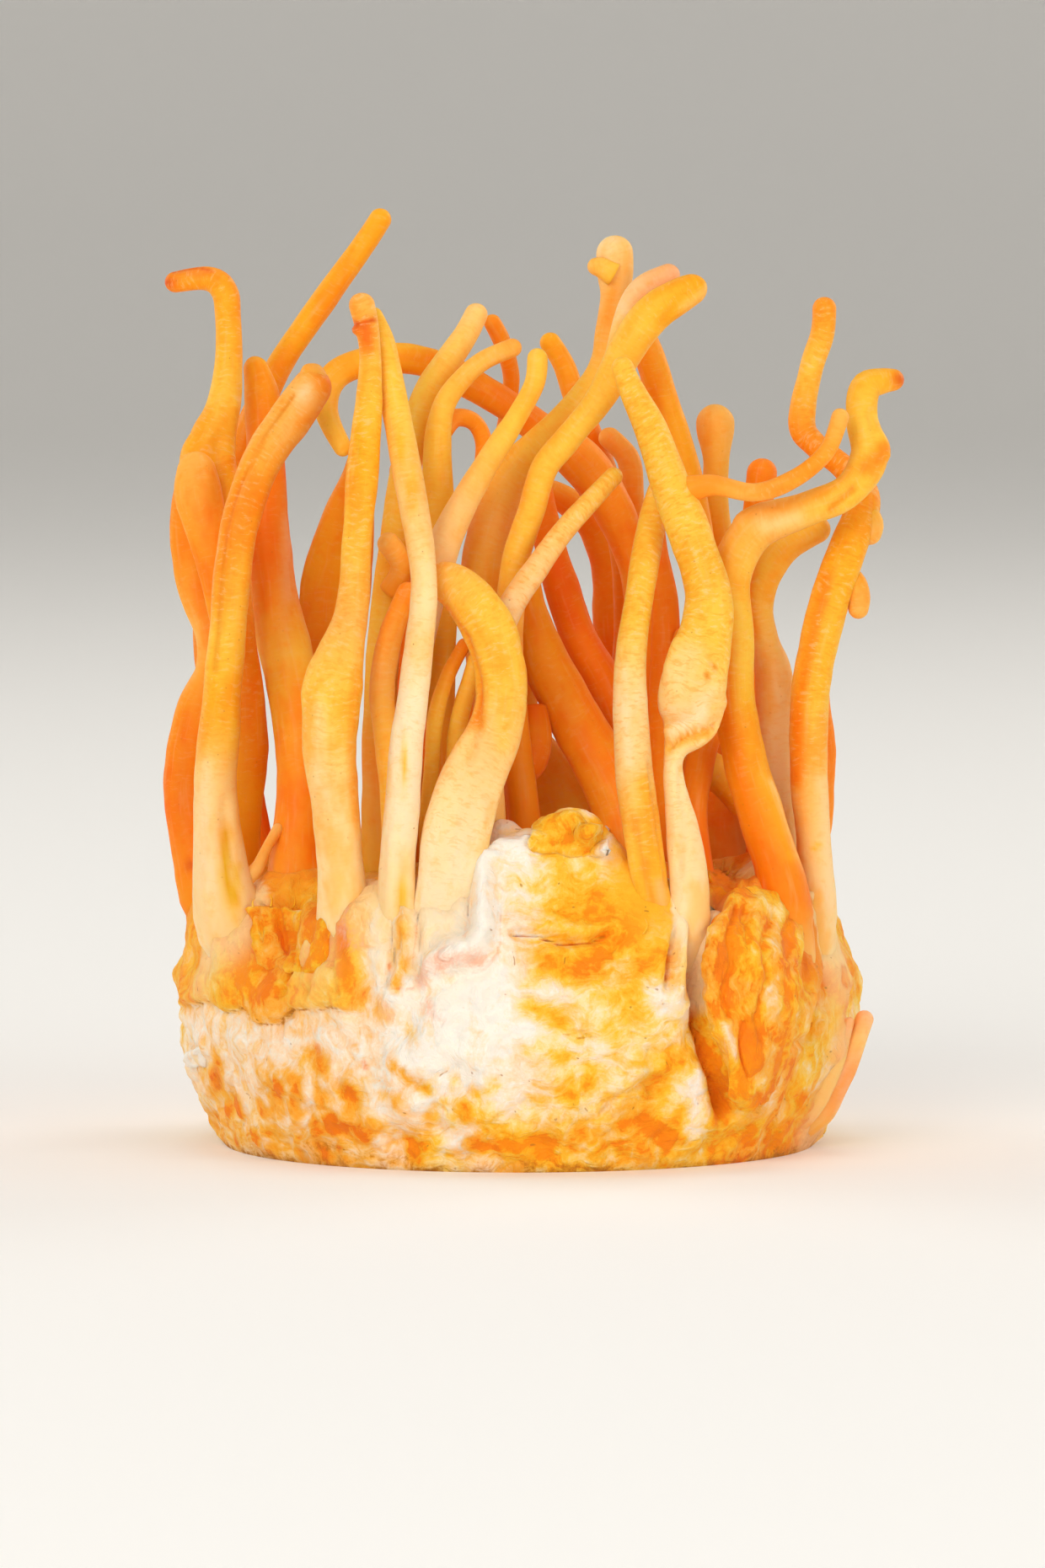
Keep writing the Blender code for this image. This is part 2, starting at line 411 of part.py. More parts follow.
# The cake's side, from the middle of its underside to the middle of its top: radius, height
CAKE_PROFILE = [
    (0.0, 0.0), (CAKE_BASE_RADIUS * 0.45, 0.0), (CAKE_BASE_RADIUS * 0.85, 0.0),
    (CAKE_BASE_RADIUS, 1.2), (34.2, 5.5), (35.7, 10.0), (36.3, 14.5), (CAKE_RADIUS, 18.2),
    (35.3, 21.8), (33.5, CAKE_RIM_HEIGHT), (31.2, 28.0), (27.8, CAKE_TOP_HEIGHT), (23.5, 29.2),
    (17.0, 28.4), (9.0, 27.6), (0.0, 27.2)]

# Humps and hollows: across, up, back, reach across, reach up, and how far the skin stands out
CAKE_LUMPS = [
    (-1.0, 31.5, -27.0, 7.5, 6.0, 5.0),
    (6.0, 33.0, -26.0, 5.0, 7.0, 8.6),
    (-3.5, 27.0, -33.0, 5.0, 5.0, 1.6),
    (25.0, 19.0, -27.0, 7.2, 11.5, 3.4),
    (19.6, 20.0, -32.0, 2.2, 10.0, -2.2),
    (-26.5, 26.0, -24.5, 4.0, 3.4, -2.6),
    (-31.0, 23.0, -19.0, 4.6, 6.0, 1.4),
    (-20.5, 22.0, -29.5, 4.0, 6.0, 1.6),
    (-12.6, 24.0, -32.5, 4.4, 6.0, 1.3),
    (15.8, 24.0, -31.0, 5.0, 7.0, 1.8),
    (10.0, 15.0, -34.5, 6.0, 6.0, 0.9),
    (-8.0, 14.0, -35.5, 9.0, 5.0, 0.8),
    (-26.0, 11.0, -26.5, 8.0, 5.0, 0.7),
    (27.0, 31.5, -8.0, 5.0, 5.0, 1.4),
    (-30.0, 30.0, -2.0, 6.0, 5.0, 2.0),
    (12.0, 31.0, 24.0, 9.0, 6.0, 2.6),
    (-16.0, 31.0, 22.0, 9.0, 6.0, 2.4),
    (0.0, 20.0, 37.0, 9.0, 8.0, 1.6),
    (24.0, 14.0, 27.0, 7.0, 6.0, 1.2),
    (-27.0, 16.0, 24.0, 7.0, 7.0, 1.4)]


def makeCake():
    """The cake: a round body with humps, hollows and an uneven skin, flat underneath."""
    verts = []
    faces = []
    rings = CAKE_PROFILE[1:-1]
    for radius, height in rings:
        for k in range(CAKE_SEGMENTS):
            even = 2 * math.pi * k / CAKE_SEGMENTS
            angle = even + CAKE_CROWDING * math.cos(even)
            verts.append(Vector((radius * math.cos(angle), radius * math.sin(angle), height)))
    under = len(verts)
    verts.append(Vector((0.0, 0.0, 0.0)))
    verts.append(Vector((0.0, 0.0, CAKE_PROFILE[-1][1])))
    for ring in range(len(rings) - 1):
        for k in range(CAKE_SEGMENTS):
            a = ring * CAKE_SEGMENTS + k
            b = ring * CAKE_SEGMENTS + (k + 1) % CAKE_SEGMENTS
            faces.append((a, b, b + CAKE_SEGMENTS, a + CAKE_SEGMENTS))
    for k in range(CAKE_SEGMENTS):
        after = (k + 1) % CAKE_SEGMENTS
        faces.append((under, after, k))
        first = (len(rings) - 1) * CAKE_SEGMENTS
        faces.append((first + k, first + after, under + 1))
    lumps = []
    for across, up, back, wide, high, out in CAKE_LUMPS:
        lumps.append((seen(across, up, back) / MM, wide, high, out))
    middle = Vector((CAKE_ACROSS - MIDDLE_ACROSS, -MIDDLE_BACK, 0.0))
    shaped = []
    for v in verts:
        place = v + middle
        outward = Vector((v.x, v.y, (v.z - SKIN_MIDDLE) * SKIN_UPRIGHT)).normalized()
        if v.z > SKIN_TOP:
            outward = (outward * SKIN_LEAN + Vector((0, 0, 1))).normalized()
        if v.z > 0.5:
            push = 0.0
            for often, strong in (BROAD_WAVES, SMALL_WAVES):
                push += strong * noise.noise(place * often)
            for centre, wide, high, out in lumps:
                off = place - centre
                flat = math.hypot(off.x, off.y) / wide
                push += out * math.exp(-(flat ** 2 + (off.z / high) ** 2))
            place = place + outward * push
        shaped.append(place * MM)
    return makeObject("cake", shaped, faces, makeMaterial("cake", CREAM, 0.8))


def makeSwollen(item):
    """A hidden copy of a piece, grown by the gap, that cuts the seat of what grows from it."""
    copy = item.copy()
    copy.data = item.data.copy()
    copy.name = item.name + "_cutter"
    bpy.context.collection.objects.link(copy)
    normals = [v.normal.copy() for v in copy.data.vertices]
    for vertex, normal in zip(copy.data.vertices, normals):
        vertex.co += normal * GAP * MM
    copy.hide_render = True
    copy.display_type = "WIRE"
    return copy


def fuse(item, bud):
    """Makes a bud one with the stalk that it swells from."""
    union = item.modifiers.new("bud", "BOOLEAN")
    union.operation = "UNION"
    union.solver = "EXACT"
    union.object = bud
    bud.hide_render = True
    bud.display_type = "WIRE"


def seat(item, cutter):
    """Cuts a piece back to the surface that it grows from."""
    cut = item.modifiers.new("seat on " + cutter.name, "BOOLEAN")
    cut.operation = "DIFFERENCE"
    cut.solver = "EXACT"
    cut.object = cutter


def main():
    clearScene()
    cake = makeCake()
    cakeCutter = makeSwollen(cake)
    stalks = {}
    for name, (colour, points) in STALKS.items():
        stalks[name] = makeStalk(name, colour, points)
    for number, (parent, points) in enumerate(BUDS):
        fuse(stalks[parent], makeStalk(f"bud_{number + 1}", ORANGE, points))
    cutters = {}
    for name, (parent, colour, points) in BRANCHES.items():
        if parent not in cutters:
            cutters[parent] = makeSwollen(stalks[parent])
        seat(makeStalk(name, colour, points), cutters[parent])
    for item in stalks.values():
        seat(item, cakeCutter)
    seat(makeStalk("side_stub", *STUB), cakeCutter)


main()
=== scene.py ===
# Cordyceps bunch: wavy orange stalks standing close together on a round cake of mycelium and grain.
# Lengths are in millimetres throughout; a mesh is turned into metres as it is made.

import math

import bpy
import numpy as np
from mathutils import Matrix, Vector, noise
from mathutils.bvhtree import BVHTree


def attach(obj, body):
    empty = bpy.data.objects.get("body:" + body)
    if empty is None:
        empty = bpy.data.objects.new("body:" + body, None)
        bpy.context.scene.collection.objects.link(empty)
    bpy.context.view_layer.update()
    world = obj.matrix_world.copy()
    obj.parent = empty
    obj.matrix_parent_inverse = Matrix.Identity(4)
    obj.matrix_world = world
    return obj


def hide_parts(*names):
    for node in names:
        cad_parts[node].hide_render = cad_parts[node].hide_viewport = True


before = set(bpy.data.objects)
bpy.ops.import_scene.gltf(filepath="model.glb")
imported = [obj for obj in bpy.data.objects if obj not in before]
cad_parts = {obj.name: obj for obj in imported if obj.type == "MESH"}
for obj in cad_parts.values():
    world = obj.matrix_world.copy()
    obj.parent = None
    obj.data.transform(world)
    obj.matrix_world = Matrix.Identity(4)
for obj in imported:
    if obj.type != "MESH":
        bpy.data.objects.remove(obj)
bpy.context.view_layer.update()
mm = 0.001

# how the bunch is drawn: a place is given as across, up and back, as the front view shows it
drawing = {
    "tilt": math.radians(4.0),   # how far the front view looks down
    "distance": 1200.0,          # from the camera to the middle of the bunch
    "middleUp": 41.8,            # where the middle shows in the drawing
    "middleHeight": 38.8,        # how high the middle is
    "middleAcross": 0.5,
    "middleBack": 0.73,
    "frameHeight": 1861 / 11,    # what the picture takes in, from bottom to top
    "frameShift": -5 / 1861}

# finishes of the flesh and the cake, as they look in daylight, 0 to 255
tints = {
    "amber": (253, 172, 22), "gold": (254, 196, 64), "orange": (253, 154, 24),
    "deep": (249, 130, 4), "rust": (220, 90, 2), "ochre": (228, 128, 8),
    "apricot": (254, 182, 80), "peach": (254, 200, 118), "cream": (254, 216, 154),
    "pale": (253, 225, 182), "blush": (251, 186, 136), "olive": (232, 172, 6),
    "white": (250, 241, 228), "chalk": (252, 228, 196), "brown": (150, 84, 16)}

stalks = {
    "outer_left_stalk": {
        "finish": "stalk_deep",
        "tones": "orange orange deep orange apricot orange deep",
        "points": [
            (-31.5, 20, -3, 5.0, 0.8), (-33.2, 26, -3, 4.8, 0.8), (-35.3, 32, -2, 4.8, 0.7),
            (-36.4, 38, -1, 4.9, 0.7), (-36.7, 43, 0, 4.6, 0.7), (-35.8, 49, 0, 4.6, 0.7),
            (-33.9, 54, 0, 3.6), (-34.0, 58, 0, 3.6), (-35.3, 63, 0, 4.6, 0.7),
            (-36.0, 69, 0, 4.8, 0.7), (-35.8, 74, 0, 4.2, 0.7), (-35.0, 77.5, 0, 2.6)],
        "marks": [
            # the two ochre marks are painted shade on the stalk's sides
            (-34.2, 70, 1.3, 7, "ochre", 0.5), (-37.0, 42, 1.0, 8, "ochre", 0.45),
            (-36.3, 33, 0.5, 0.7, "rust", 0.8)]},
    "crook_stalk": {
        "finish": "stalk_yellow",
        "tones": "orange amber amber orange orange gold amber gold amber orange",
        "rings": 0.7, "dots": 0.5,
        "bands": [
            ("blush", 0.5, 0.5, [(-36.8, 77.0), (-36.2, 72.0), (-34.6, 66.0)]),
            ("ochre", 0.5, 0.6, [(-33.4, 74.0), (-32.4, 68.0)]),
            ("gold", 0.6, 1.0, [(-32.8, 82.0), (-33.6, 78.0)]),
            ("rust", 0.7, 0.2, [(-38.0, 96.9), (-35.4, 97.4), (-34.0, 97.0)])],
        "folds": [
            (0.6, -0.5, [(-33.2, 79.0), (-33.6, 74.0), (-32.8, 68.0)]),
            (0.5, 0.3, [(-31.4, 82.6), (-32.0, 77.0)])],
        "points": [
            (-30.5, 22, -9, 4.6, 0.8), (-31.2, 30, -9, 4.4, 0.8), (-31.0, 38, -9, 4.6, 0.7),
            (-30.4, 46, -9.5, 5.0, 0.7), (-30.6, 53, -10.5, 4.2, 0.8),
            (-31.6, 60, -11, 4.4, 0.8), (-32.6, 67, -10.5, 5.0, 0.7),
            (-34.4, 75.6, -8, 6.2, 0.6), (-33.9, 79, -7, 4.9, 0.8), (-32.7, 82.4, -6.5, 3.7),
            (-32.1, 87, -6, 3.0), (-32.1, 91.5, -5, 2.8), (-32.5, 94.8, -4.5, 2.9),
            (-34.5, 96.2, -4, 2.6), (-38.9, 95.6, -4, 2.2)],
        "marks": [
            (-38.7, 95.7, 0.9, 0.9, "rust", 0.9), (-36.2, 96.7, 2.2, 0.35, "ochre", 0.6)]},
    "left_flap": {
        "finish": "stalk_deep",
        "tones": "orange orange apricot",
        "points": [
            (-32.2, 56, -14.2, 2.0, 0.8), (-33.4, 62, -14.4, 2.6, 0.7),
            (-34.3, 68, -14.2, 4.0, 0.5), (-35.3, 73, -13.4, 5.2, 0.4),
            (-35.7, 77.6, -12.8, 3.4, 0.5)],
        "marks": [
            # the ochre mark is painted shade down the middle of the flap
            (-33.5, 73.5, 1.1, 4, "ochre", 0.6)]},
    "leaning_stalk": {
        "finish": "stalk_orange",
        "tones": "deep deep orange orange amber amber",
        "points": [
            (-27.0, 24, 6, 4.0), (-29.0, 34, 6, 3.6), (-31.0, 46, 6, 3.4), (-32.4, 58, 6.5, 3.3),
            (-32.0, 70, 7, 3.2), (-30.2, 79, 7.5, 3.1), (-26.7, 86.7, 8, 2.9),
            (-21.5, 94.3, 8.5, 2.7), (-17.4, 100.0, 9, 2.5), (-15.1, 103.5, 9, 2.4)]},
    "pointed_stalk": {
        "finish": "stalk_deep",
        "tones": "apricot orange orange gold deep deep amber",
        "bands": [
            ("deep", 0.5, 0.8, [(-22.6, 50.0), (-23.4, 42.0), (-23.0, 34.0)]),
            ("blush", 0.5, 0.6, [(-25.6, 70.0), (-25.4, 62.0)])],
        "points": [
            (-24.5, 22, -16, 6.2, 0.8), (-24.9, 30, -15, 5.8, 0.8), (-24.7, 37, -14, 5.0, 0.8),
            (-24.4, 45, -13, 5.4, 0.7), (-25.4, 53, -9.5, 5.6, 0.7), (-27.0, 61, -6.5, 5.2, 0.8),
            (-27.8, 69, -4.5, 4.6, 0.8), (-28.1, 77, -2.5, 4.2, 0.8), (-28.4, 83, -1, 3.9, 0.8),
            (-29.5, 87.8, 0, 2.2)],
        "marks": [
            (-26.0, 66, 0.8, 8, "blush", 0.6)]},
    "left_club_stalk": {
        "finish": "stalk_yellow",
        "tones": "pale cream cream peach amber gold orange orange apricot orange",
        "rings": 0.7, "dots": 0.5,
        "bands": [
            ("pale", 0.5, 0.9, [(-34.6, 44.0), (-34.9, 36.0), (-34.4, 31.0)]),
            ("olive", 0.7, 0.5, [(-32.4, 36.4), (-32.6, 32.0), (-31.6, 29.0)]),
            ("olive", 0.5, 0.35, [(-31.2, 33.0), (-31.4, 29.6)]),
            ("gold", 0.5, 0.8, [(-30.6, 66.0), (-31.4, 56.0), (-31.8, 46.0)]),
            ("ochre", 0.6, 0.22, [
                (-25.2, 83.6), (-28.2, 79.4), (-31.0, 74.0), (-32.5, 69.1), (-33.0, 63.0), (-33.7, 54.0)])],
        "folds": [
            (0.5, -0.35, [(-32.6, 40.0), (-32.2, 34.0), (-31.6, 29.0)]),
            (0.5, 0.4, [(-33.8, 38.0), (-34.2, 32.0), (-34.4, 28.0)]),
            (0.45, -0.35, [(-25.2, 83.6), (-28.2, 79.4), (-31.0, 74.0), (-32.5, 69.1), (-33.0, 63.0), (-33.7, 54.0)]),
            (1.0, 0.5, [(-23.0, 86.8), (-22.0, 86.6)])],
        "points": [
            (-30.0, 22, -13, 5.6, 0.8), (-32.3, 28, -17.5, 6.8, 0.8), (-33.2, 34, -19, 5.6, 0.8),
            (-33.6, 42, -20, 4.6), (-32.9, 50, -20.5, 4.2), (-32.3, 58, -20.5, 4.0),
            (-31.6, 66, -20, 4.0), (-30.3, 72, -19, 4.0), (-28.0, 77.5, -18, 4.2),
            (-25.1, 81.5, -17, 4.4), (-21.9, 86.2, -16, 4.1)],
        "marks": [
            (-23.6, 83.6, 1.7, 1.9, "pale", 0.85), (-32.4, 32, 0.5, 3, "olive", 0.7),
            (-31.4, 29, 0.6, 2.4, "gold", 0.8)]},
    "brown_back_stalk": {
        "finish": "stalk_deep",
        "tones": "orange ochre ochre amber orange",
        "points": [
            (-18.5, 22, 2, 5.0, 0.8), (-20.0, 32, 3, 5.0, 0.8), (-21.0, 44, 4, 5.2, 0.7),
            (-21.4, 54, 5, 6.0, 0.6), (-21.4, 62, 5, 6.2, 0.6), (-20.2, 69, 4, 4.8, 0.7),
            (-18.4, 75, 3, 3.0), (-17.2, 79.5, 2, 2.4)]},
    "front_tall_stalk": {
        "finish": "stalk_yellow",
        "tones": "pale cream cream peach gold apricot gold amber gold apricot",
        "rings": 0.9, "dots": 0.5,
        "bands": [  # tint, strength, width, line
            ("rust", 0.9, 0.3, [(-19.2, 91.5), (-17.8, 91.2), (-16.4, 91.8)]),
            ("deep", 0.6, 0.8, [(-17.3, 90.6), (-17.0, 88.6)]),
            ("olive", 0.55, 0.4, [(-18.2, 80.0), (-18.0, 75.0)]),
            # the pale band is a painted highlight on the lower blade's left, the orange band painted shade down its
            # right side
            ("pale", 0.55, 1.0, [(-22.6, 50.0), (-22.4, 44.0), (-21.4, 38.0)]),
            ("orange", 0.5, 0.6, [(-18.4, 54.0), (-18.6, 46.0), (-18.6, 38.0)])],
        "folds": [  # width, how far it stands out, line
            (0.3, -0.35, [(-19.2, 91.5), (-17.8, 91.1), (-16.4, 91.7)]),
            (0.4, 0.5, [(-18.5, 90.9), (-18.4, 90.5)]),
            (0.5, -0.3, [(-19.6, 57.0), (-20.4, 50.0), (-20.4, 42.0)])],
        "points": [
            (-18.0, 17, -24, 5.6), (-19.3, 24, -27.5, 5.4), (-20.0, 31, -29, 4.9),
            (-20.6, 38, -30, 5.1), (-21.3, 46, -30, 5.7), (-20.7, 53, -30, 6.3, 0.8),
            (-18.9, 60, -29, 3.6), (-18.3, 68, -28, 3.1), (-17.6, 76, -27, 3.4),
            (-17.0, 83, -26, 2.8), (-16.9, 89, -25, 2.3), (-18.1, 94.6, -24.5, 2.9)],
        "marks": [
            (-17.2, 90.2, 0.7, 1.4, "rust", 0.85), (-18.3, 90.7, 0.4, 0.5, "rust", 0.8),
            (-17.9, 77.5, 0.45, 3, "olive", 0.6)]},
    "front_side_stalk": {
        "finish": "stalk_pale",
        "tones": "cream cream pale pale cream peach gold gold",
        "rings": 0.8, "dots": 0.9,
        "folds": [
            (0.3, -0.25, [(-13.6, 48.0), (-13.8, 42.0)]), (0.35, -0.35, [(-13.3, 34.0), (-13.6, 27.0)]),
            (0.4, 0.3, [(-14.6, 36.0), (-14.8, 28.0)])],
        "points": [
            (-12.9, 18, -27, 4.0), (-13.9, 26, -30.5, 4.0), (-13.9, 33, -31.5, 3.8),
            (-13.4, 40, -32, 3.8), (-12.9, 47, -32, 3.5), (-11.8, 55, -31.5, 3.2),
            (-11.0, 63, -30.5, 2.8), (-12.0, 71, -29, 3.2), (-13.3, 78, -26.0, 3.1),
            (-14.6, 85, -23.6, 2.8), (-15.4, 89.5, -22.3, 2.2), (-16.8, 93.0, -21.2, 1.8)],
        "marks": [
            (-13.6, 78, 0.5, 2.2, "olive", 0.6), (-12.4, 73.5, 0.6, 2.2, "olive", 0.7),
            (-13.2, 44, 0.3, 2.2, "olive", 0.7), (-13.4, 29.5, 0.5, 2.2, "olive", 0.8)]},
    "bowed_stalk": {
        "finish": "stalk_yellow",
        "tones": "orange gold gold apricot orange",
        "points": [
            (-12.6, 24, -25, 3.2), (-13.8, 32, -26, 3.0), (-14.4, 40, -26, 2.7),
            (-15.0, 46, -26, 2.7), (-15.6, 52, -26, 2.8), (-14.6, 58, -26, 2.6),
            (-12.4, 63.5, -25.5, 2.2)]},
    "arch_stalk": {
        "finish": "stalk_deep",
        "tones": "orange deep orange orange orange orange orange orange amber gold gold",
        "points": [
            (11.0, 22, 2, 4.2), (12.4, 34, 2, 3.8), (13.0, 46, 1, 3.6), (12.6, 58, 0, 3.6),
            (11.4, 66, -1, 3.6), (9.0, 72, -1.5, 4.6), (5.6, 76.8, -2, 4.8),
            (1.2, 80.2, -3, 3.6), (-4.5, 84, -4, 3.4), (-10.5, 87.1, -5, 3.3),
            (-16.0, 87.5, -6, 3.2), (-20.6, 85.8, -7.5, 3.1), (-21.6, 82, -9, 2.5),
            (-19.4, 77.2, -11, 1.9)]},
    "capped_stalk": {
        "finish": "stalk_yellow",
        "tones": "orange gold apricot gold gold gold gold peach",
        "points": [
            (-14.0, 22, -16, 4.4), (-15.6, 33, -17.5, 4.0), (-15.9, 44, -17.5, 3.8),
            (-15.5, 55, -17, 3.6), (-14.4, 65, -16.5, 3.5), (-13.5, 73, -15.5, 3.3),
            (-12.2, 79.5, -14, 3.2), (-10.4, 84.4, -12.5, 3.0), (-8.2, 87.7, -11.5, 2.9),
            (-6.4, 90.4, -10.5, 2.6), (-4.9, 93.4, -10, 2.5)]},
    "capped_prong": {
        "finish": "stalk_pale",
        "tones": "orange orange gold gold gold apricot",
        "points": [
            (-7.6, 26, -19, 3.4), (-8.6, 38, -19, 3.2), (-9.3, 50, -18.5, 3.2),
            (-9.3, 62, -18, 3.4), (-9.5, 71, -17.5, 3.4), (-9.6, 77.8, -17, 3.0),
            (-9.1, 81.9, -17, 2.4), (-7.4, 84.8, -16.5, 2.2), (-4.6, 87.4, -16, 2.1),
            (-0.6, 89.1, -16, 1.9)]},
    "thin_drop_stalk": {
        "finish": "stalk_orange",
        "tones": "orange orange deep orange orange",
        "points": [
            (-5.0, 30, 5, 3.0), (-5.2, 46, 5, 2.8), (-5.0, 60, 4, 2.6), (-4.2, 70, 3, 2.4),
            (-2.7, 78, 2, 2.0), (-1.7, 84.3, 0.5, 1.8), (-2.0, 87.4, -2, 1.8),
            (-2.9, 89.9, -4, 1.9), (-4.1, 92.1, -5.5, 1.8)]},
    "pale_diagonal_stalk": {
        "finish": "stalk_pale",
        "tones": "orange apricot peach pale cream peach gold gold",
        "rings": 0.4,
        "points": [
            (-11.5, 26, -22.5, 3.0), (-12.4, 38, -22.3, 2.8), (-12.5, 50, -22, 2.8),
            (-10.8, 60, -22, 3.0), (-9.0, 67.2, -22.5, 3.6), (-6.6, 72.4, -22, 3.1),
            (-3.6, 77.4, -21.5, 2.6), (-0.7, 82, -21, 2.3), (0.9, 85.2, -20.5, 2.2),
            (1.2, 88.7, -20, 2.2)]},
    "c_curve_stalk": {
        "finish": "stalk_yellow",
        "tones": "pale pale pale cream peach gold gold apricot",
        "rings": 0.9, "dots": 0.3,
        "bands": [
            # the deep band is painted shade along the inner fold
            ("deep", 0.65, 0.9, [(-9.0, 60.0), (-7.0, 57.2), (-5.8, 53.0), (-5.4, 48.6)]),
            ("gold", 0.5, 0.8, [(-3.4, 58.0), (-2.0, 52.0), (-2.6, 46.0)]),
            ("cream", 0.5, 0.8, [(-8.8, 38.0), (-9.4, 32.0)])],
        "folds": [
            (0.8, -0.7, [(-9.4, 60.2), (-7.0, 57.4), (-5.7, 53.0), (-5.5, 48.0), (-6.4, 44.6)]),
            (0.6, -0.5, [(-6.9, 41.0), (-7.4, 36.0), (-7.2, 31.0)]),
            (0.7, 0.4, [(-5.0, 40.0), (-5.2, 35.0), (-5.9, 30.0)])],
        "points": [
            (-9.6, 19, -28, 2.6, 0.9), (-9.4, 25, -31, 4.4, 0.6), (-8.7, 31, -32, 5.6, 0.45),
            (-7.5, 37, -31.5, 7.0, 0.4), (-5.6, 43, -30, 6.4, 0.5), (-3.2, 48.5, -29, 5.6, 0.7),
            (-2.9, 54, -28.5, 5.4, 0.8), (-4.5, 59.3, -28, 5.4, 0.8),
            (-7.3, 62.8, -27, 4.8, 0.8), (-10.6, 64.6, -25.8, 3.4)]},
    "inner_thin_stalk_left": {
        "finish": "stalk_yellow",
        "tones": "apricot gold gold orange",
        "points": [
            (-9.6, 28, -25, 2.2), (-10.6, 36, -25.6, 2.0), (-10.3, 43, -25.6, 1.7),
            (-9.8, 49, -25.4, 1.7), (-8.4, 53.6, -25, 1.6), (-6.4, 57.4, -24, 1.5)]},
    "inner_thin_stalk_right": {
        "finish": "stalk_yellow",
        "tones": "orange apricot gold gold",
        "points": [
            (-7.0, 28, -24.5, 2.4), (-8.2, 36, -25, 2.2), (-7.9, 43, -25, 2.0),
            (-7.2, 49, -25, 2.0), (-6.0, 53.2, -25, 1.8), (-5.3, 56.0, -24.8, 1.6)]},
    "long_club_stalk": {
        "finish": "stalk_yellow",
        "tones": "orange orange orange apricot gold apricot gold gold apricot cream",
        "bands": [
            ("orange", 0.5, 0.5, [(8.6, 91.6), (9.4, 95.6)]), ("ochre", 0.45, 0.3, [(12.2, 95.0), (12.0, 93.0)])],
        "points": [
            (-2.0, 26, -11, 4.4), (-3.0, 38, -12, 4.0), (-3.8, 50, -13, 4.0),
            (-4.9, 61, -13.5, 4.4), (-4.2, 68.5, -13.5, 4.6), (-1.4, 75.4, -13, 4.2),
            (4.0, 80.9, -12, 3.4), (6.7, 84.2, -11, 3.0), (8.3, 87.2, -10, 2.9),
            (8.8, 90.6, -10, 2.9), (9.4, 94.0, -10, 3.1), (9.55, 96.6, -10, 4.0),
            (9.4, 100.8, -10, 4.0)]},
    "yellow_prong_stalk": {
        "finish": "stalk_yellow",
        "tones": "orange orange orange apricot gold gold gold gold amber",
        "bands": [
            ("amber", 0.75, 1.0, [(14.6, 91.4), (17.4, 95.4), (20.2, 97.6)]),
            ("cream", 0.5, 0.6, [(17.0, 93.0), (20.6, 95.6)])],
        "folds": [
            (0.6, -0.4, [(14.8, 91.4), (17.4, 95.2), (19.6, 97.2)])],
        "points": [
            (1.0, 28, -18, 3.8), (-0.8, 42, -18, 3.4), (-1.9, 55, -18, 3.2),
            (-1.4, 65, -18.3, 3.0), (0.5, 71.4, -18.5, 2.8), (1.9, 75.8, -18.5, 2.8),
            (4.4, 78.9, -18.5, 2.9), (7.8, 83.2, -18, 3.2), (10.3, 87.8, -18, 3.7),
            (13.2, 92, -18, 4.0), (16.4, 94.3, -18, 3.8), (19.3, 95.7, -18, 2.7)]},
    "ringed_stalk": {
        "finish": "stalk_pale",
        "tones": "apricot peach pale peach gold",
        "rings": 1.6,
        "dots": 0.6,
        "points": [
            (-3.6, 30, -24.5, 3.0), (-3.9, 42, -24, 2.9), (-3.9, 52, -23.5, 2.9),
            (-2.2, 59.8, -23, 2.8), (1.3, 65.4, -22, 2.6), (4.8, 70, -20.5, 2.3),
            (10.0, 75.6, -18, 1.9)]},
    "wide_back_stalk": {
        "finish": "stalk_orange",
        # tones lighter than the flesh's own: painted light that makes up for the shade of the stalks in front
        "tones": "cream gold gold amber",
        "points": [
            (3.5, 24, 0, 12.0, 0.5), (3.4, 32, -1, 12.0, 0.45), (3.2, 38, -2, 10.4, 0.45),
            (1.9, 43, -3, 6.6, 0.6), (-0.3, 48, -3.5, 4.0), (-0.6, 54, -3.5, 3.2),
            (-0.4, 60.5, -3.5, 2.4)]},
    "dark_slanting_stalk": {
        "finish": "stalk_deep",
        "tones": "orange deep deep deep orange",
        "points": [
            (11.4, 24, -9, 4.0), (12.0, 34, -9, 3.8), (11.4, 43, -8.5, 3.8),
            (9.2, 51, -8.5, 4.0), (5.7, 57.6, -8.5, 3.8), (3.3, 64.5, -8.5, 3.6),
            (1.8, 71, -8.5, 3.0), (0.9, 78.6, -8, 2.4)]},
    "broad_slanting_stalk": {
        "finish": "stalk_deep",
        # tones lighter than the flesh's own: painted light that makes up for the shade of the stalks in front
        "tones": "amber orange orange amber",
        "points": [
            (10.6, 22, -18, 4.6), (10.9, 30, -17, 5.0), (10.2, 38, -16, 5.6, 0.8),
            (7.7, 44.4, -15, 5.8, 0.8), (4.6, 50, -14, 5.6, 0.8), (1.6, 56, -13.5, 5.0, 0.8),
            (0.2, 61, -13, 3.6), (0.0, 66.5, -12.5, 2.4)]},
    "back_tip_stalk": {
        "finish": "stalk_orange",
        "tones": "deep deep deep orange orange amber",
        "points": [
            (7.5, 26, 13.6, 4.0), (9.5, 42, 14, 3.8), (11.0, 55, 13, 3.6), (10.8, 65, 11, 3.4),
            (9.0, 73, 9, 3.1), (7.0, 79, 7, 2.8), (5.2, 83.2, 6, 2.5), (3.9, 87.0, 6, 2.4),
            (1.9, 90.2, 6, 2.3)]},
    "back_hook_stalk": {
        "finish": "stalk_deep",
        "tones": "deep deep orange orange",
        "points": [
            (12.0, 26, 20, 4.2), (12.2, 38, 20, 4.2), (11.4, 50, 20, 4.2), (9.4, 58, 19, 4.4),
            (9.2, 64, 18, 4.2), (7.4, 69.2, 17, 3.8), (4.6, 72, 16, 3.2), (1.6, 73.8, 16, 2.4)]},
    "small_tip_stalk": {
        "finish": "stalk_orange",
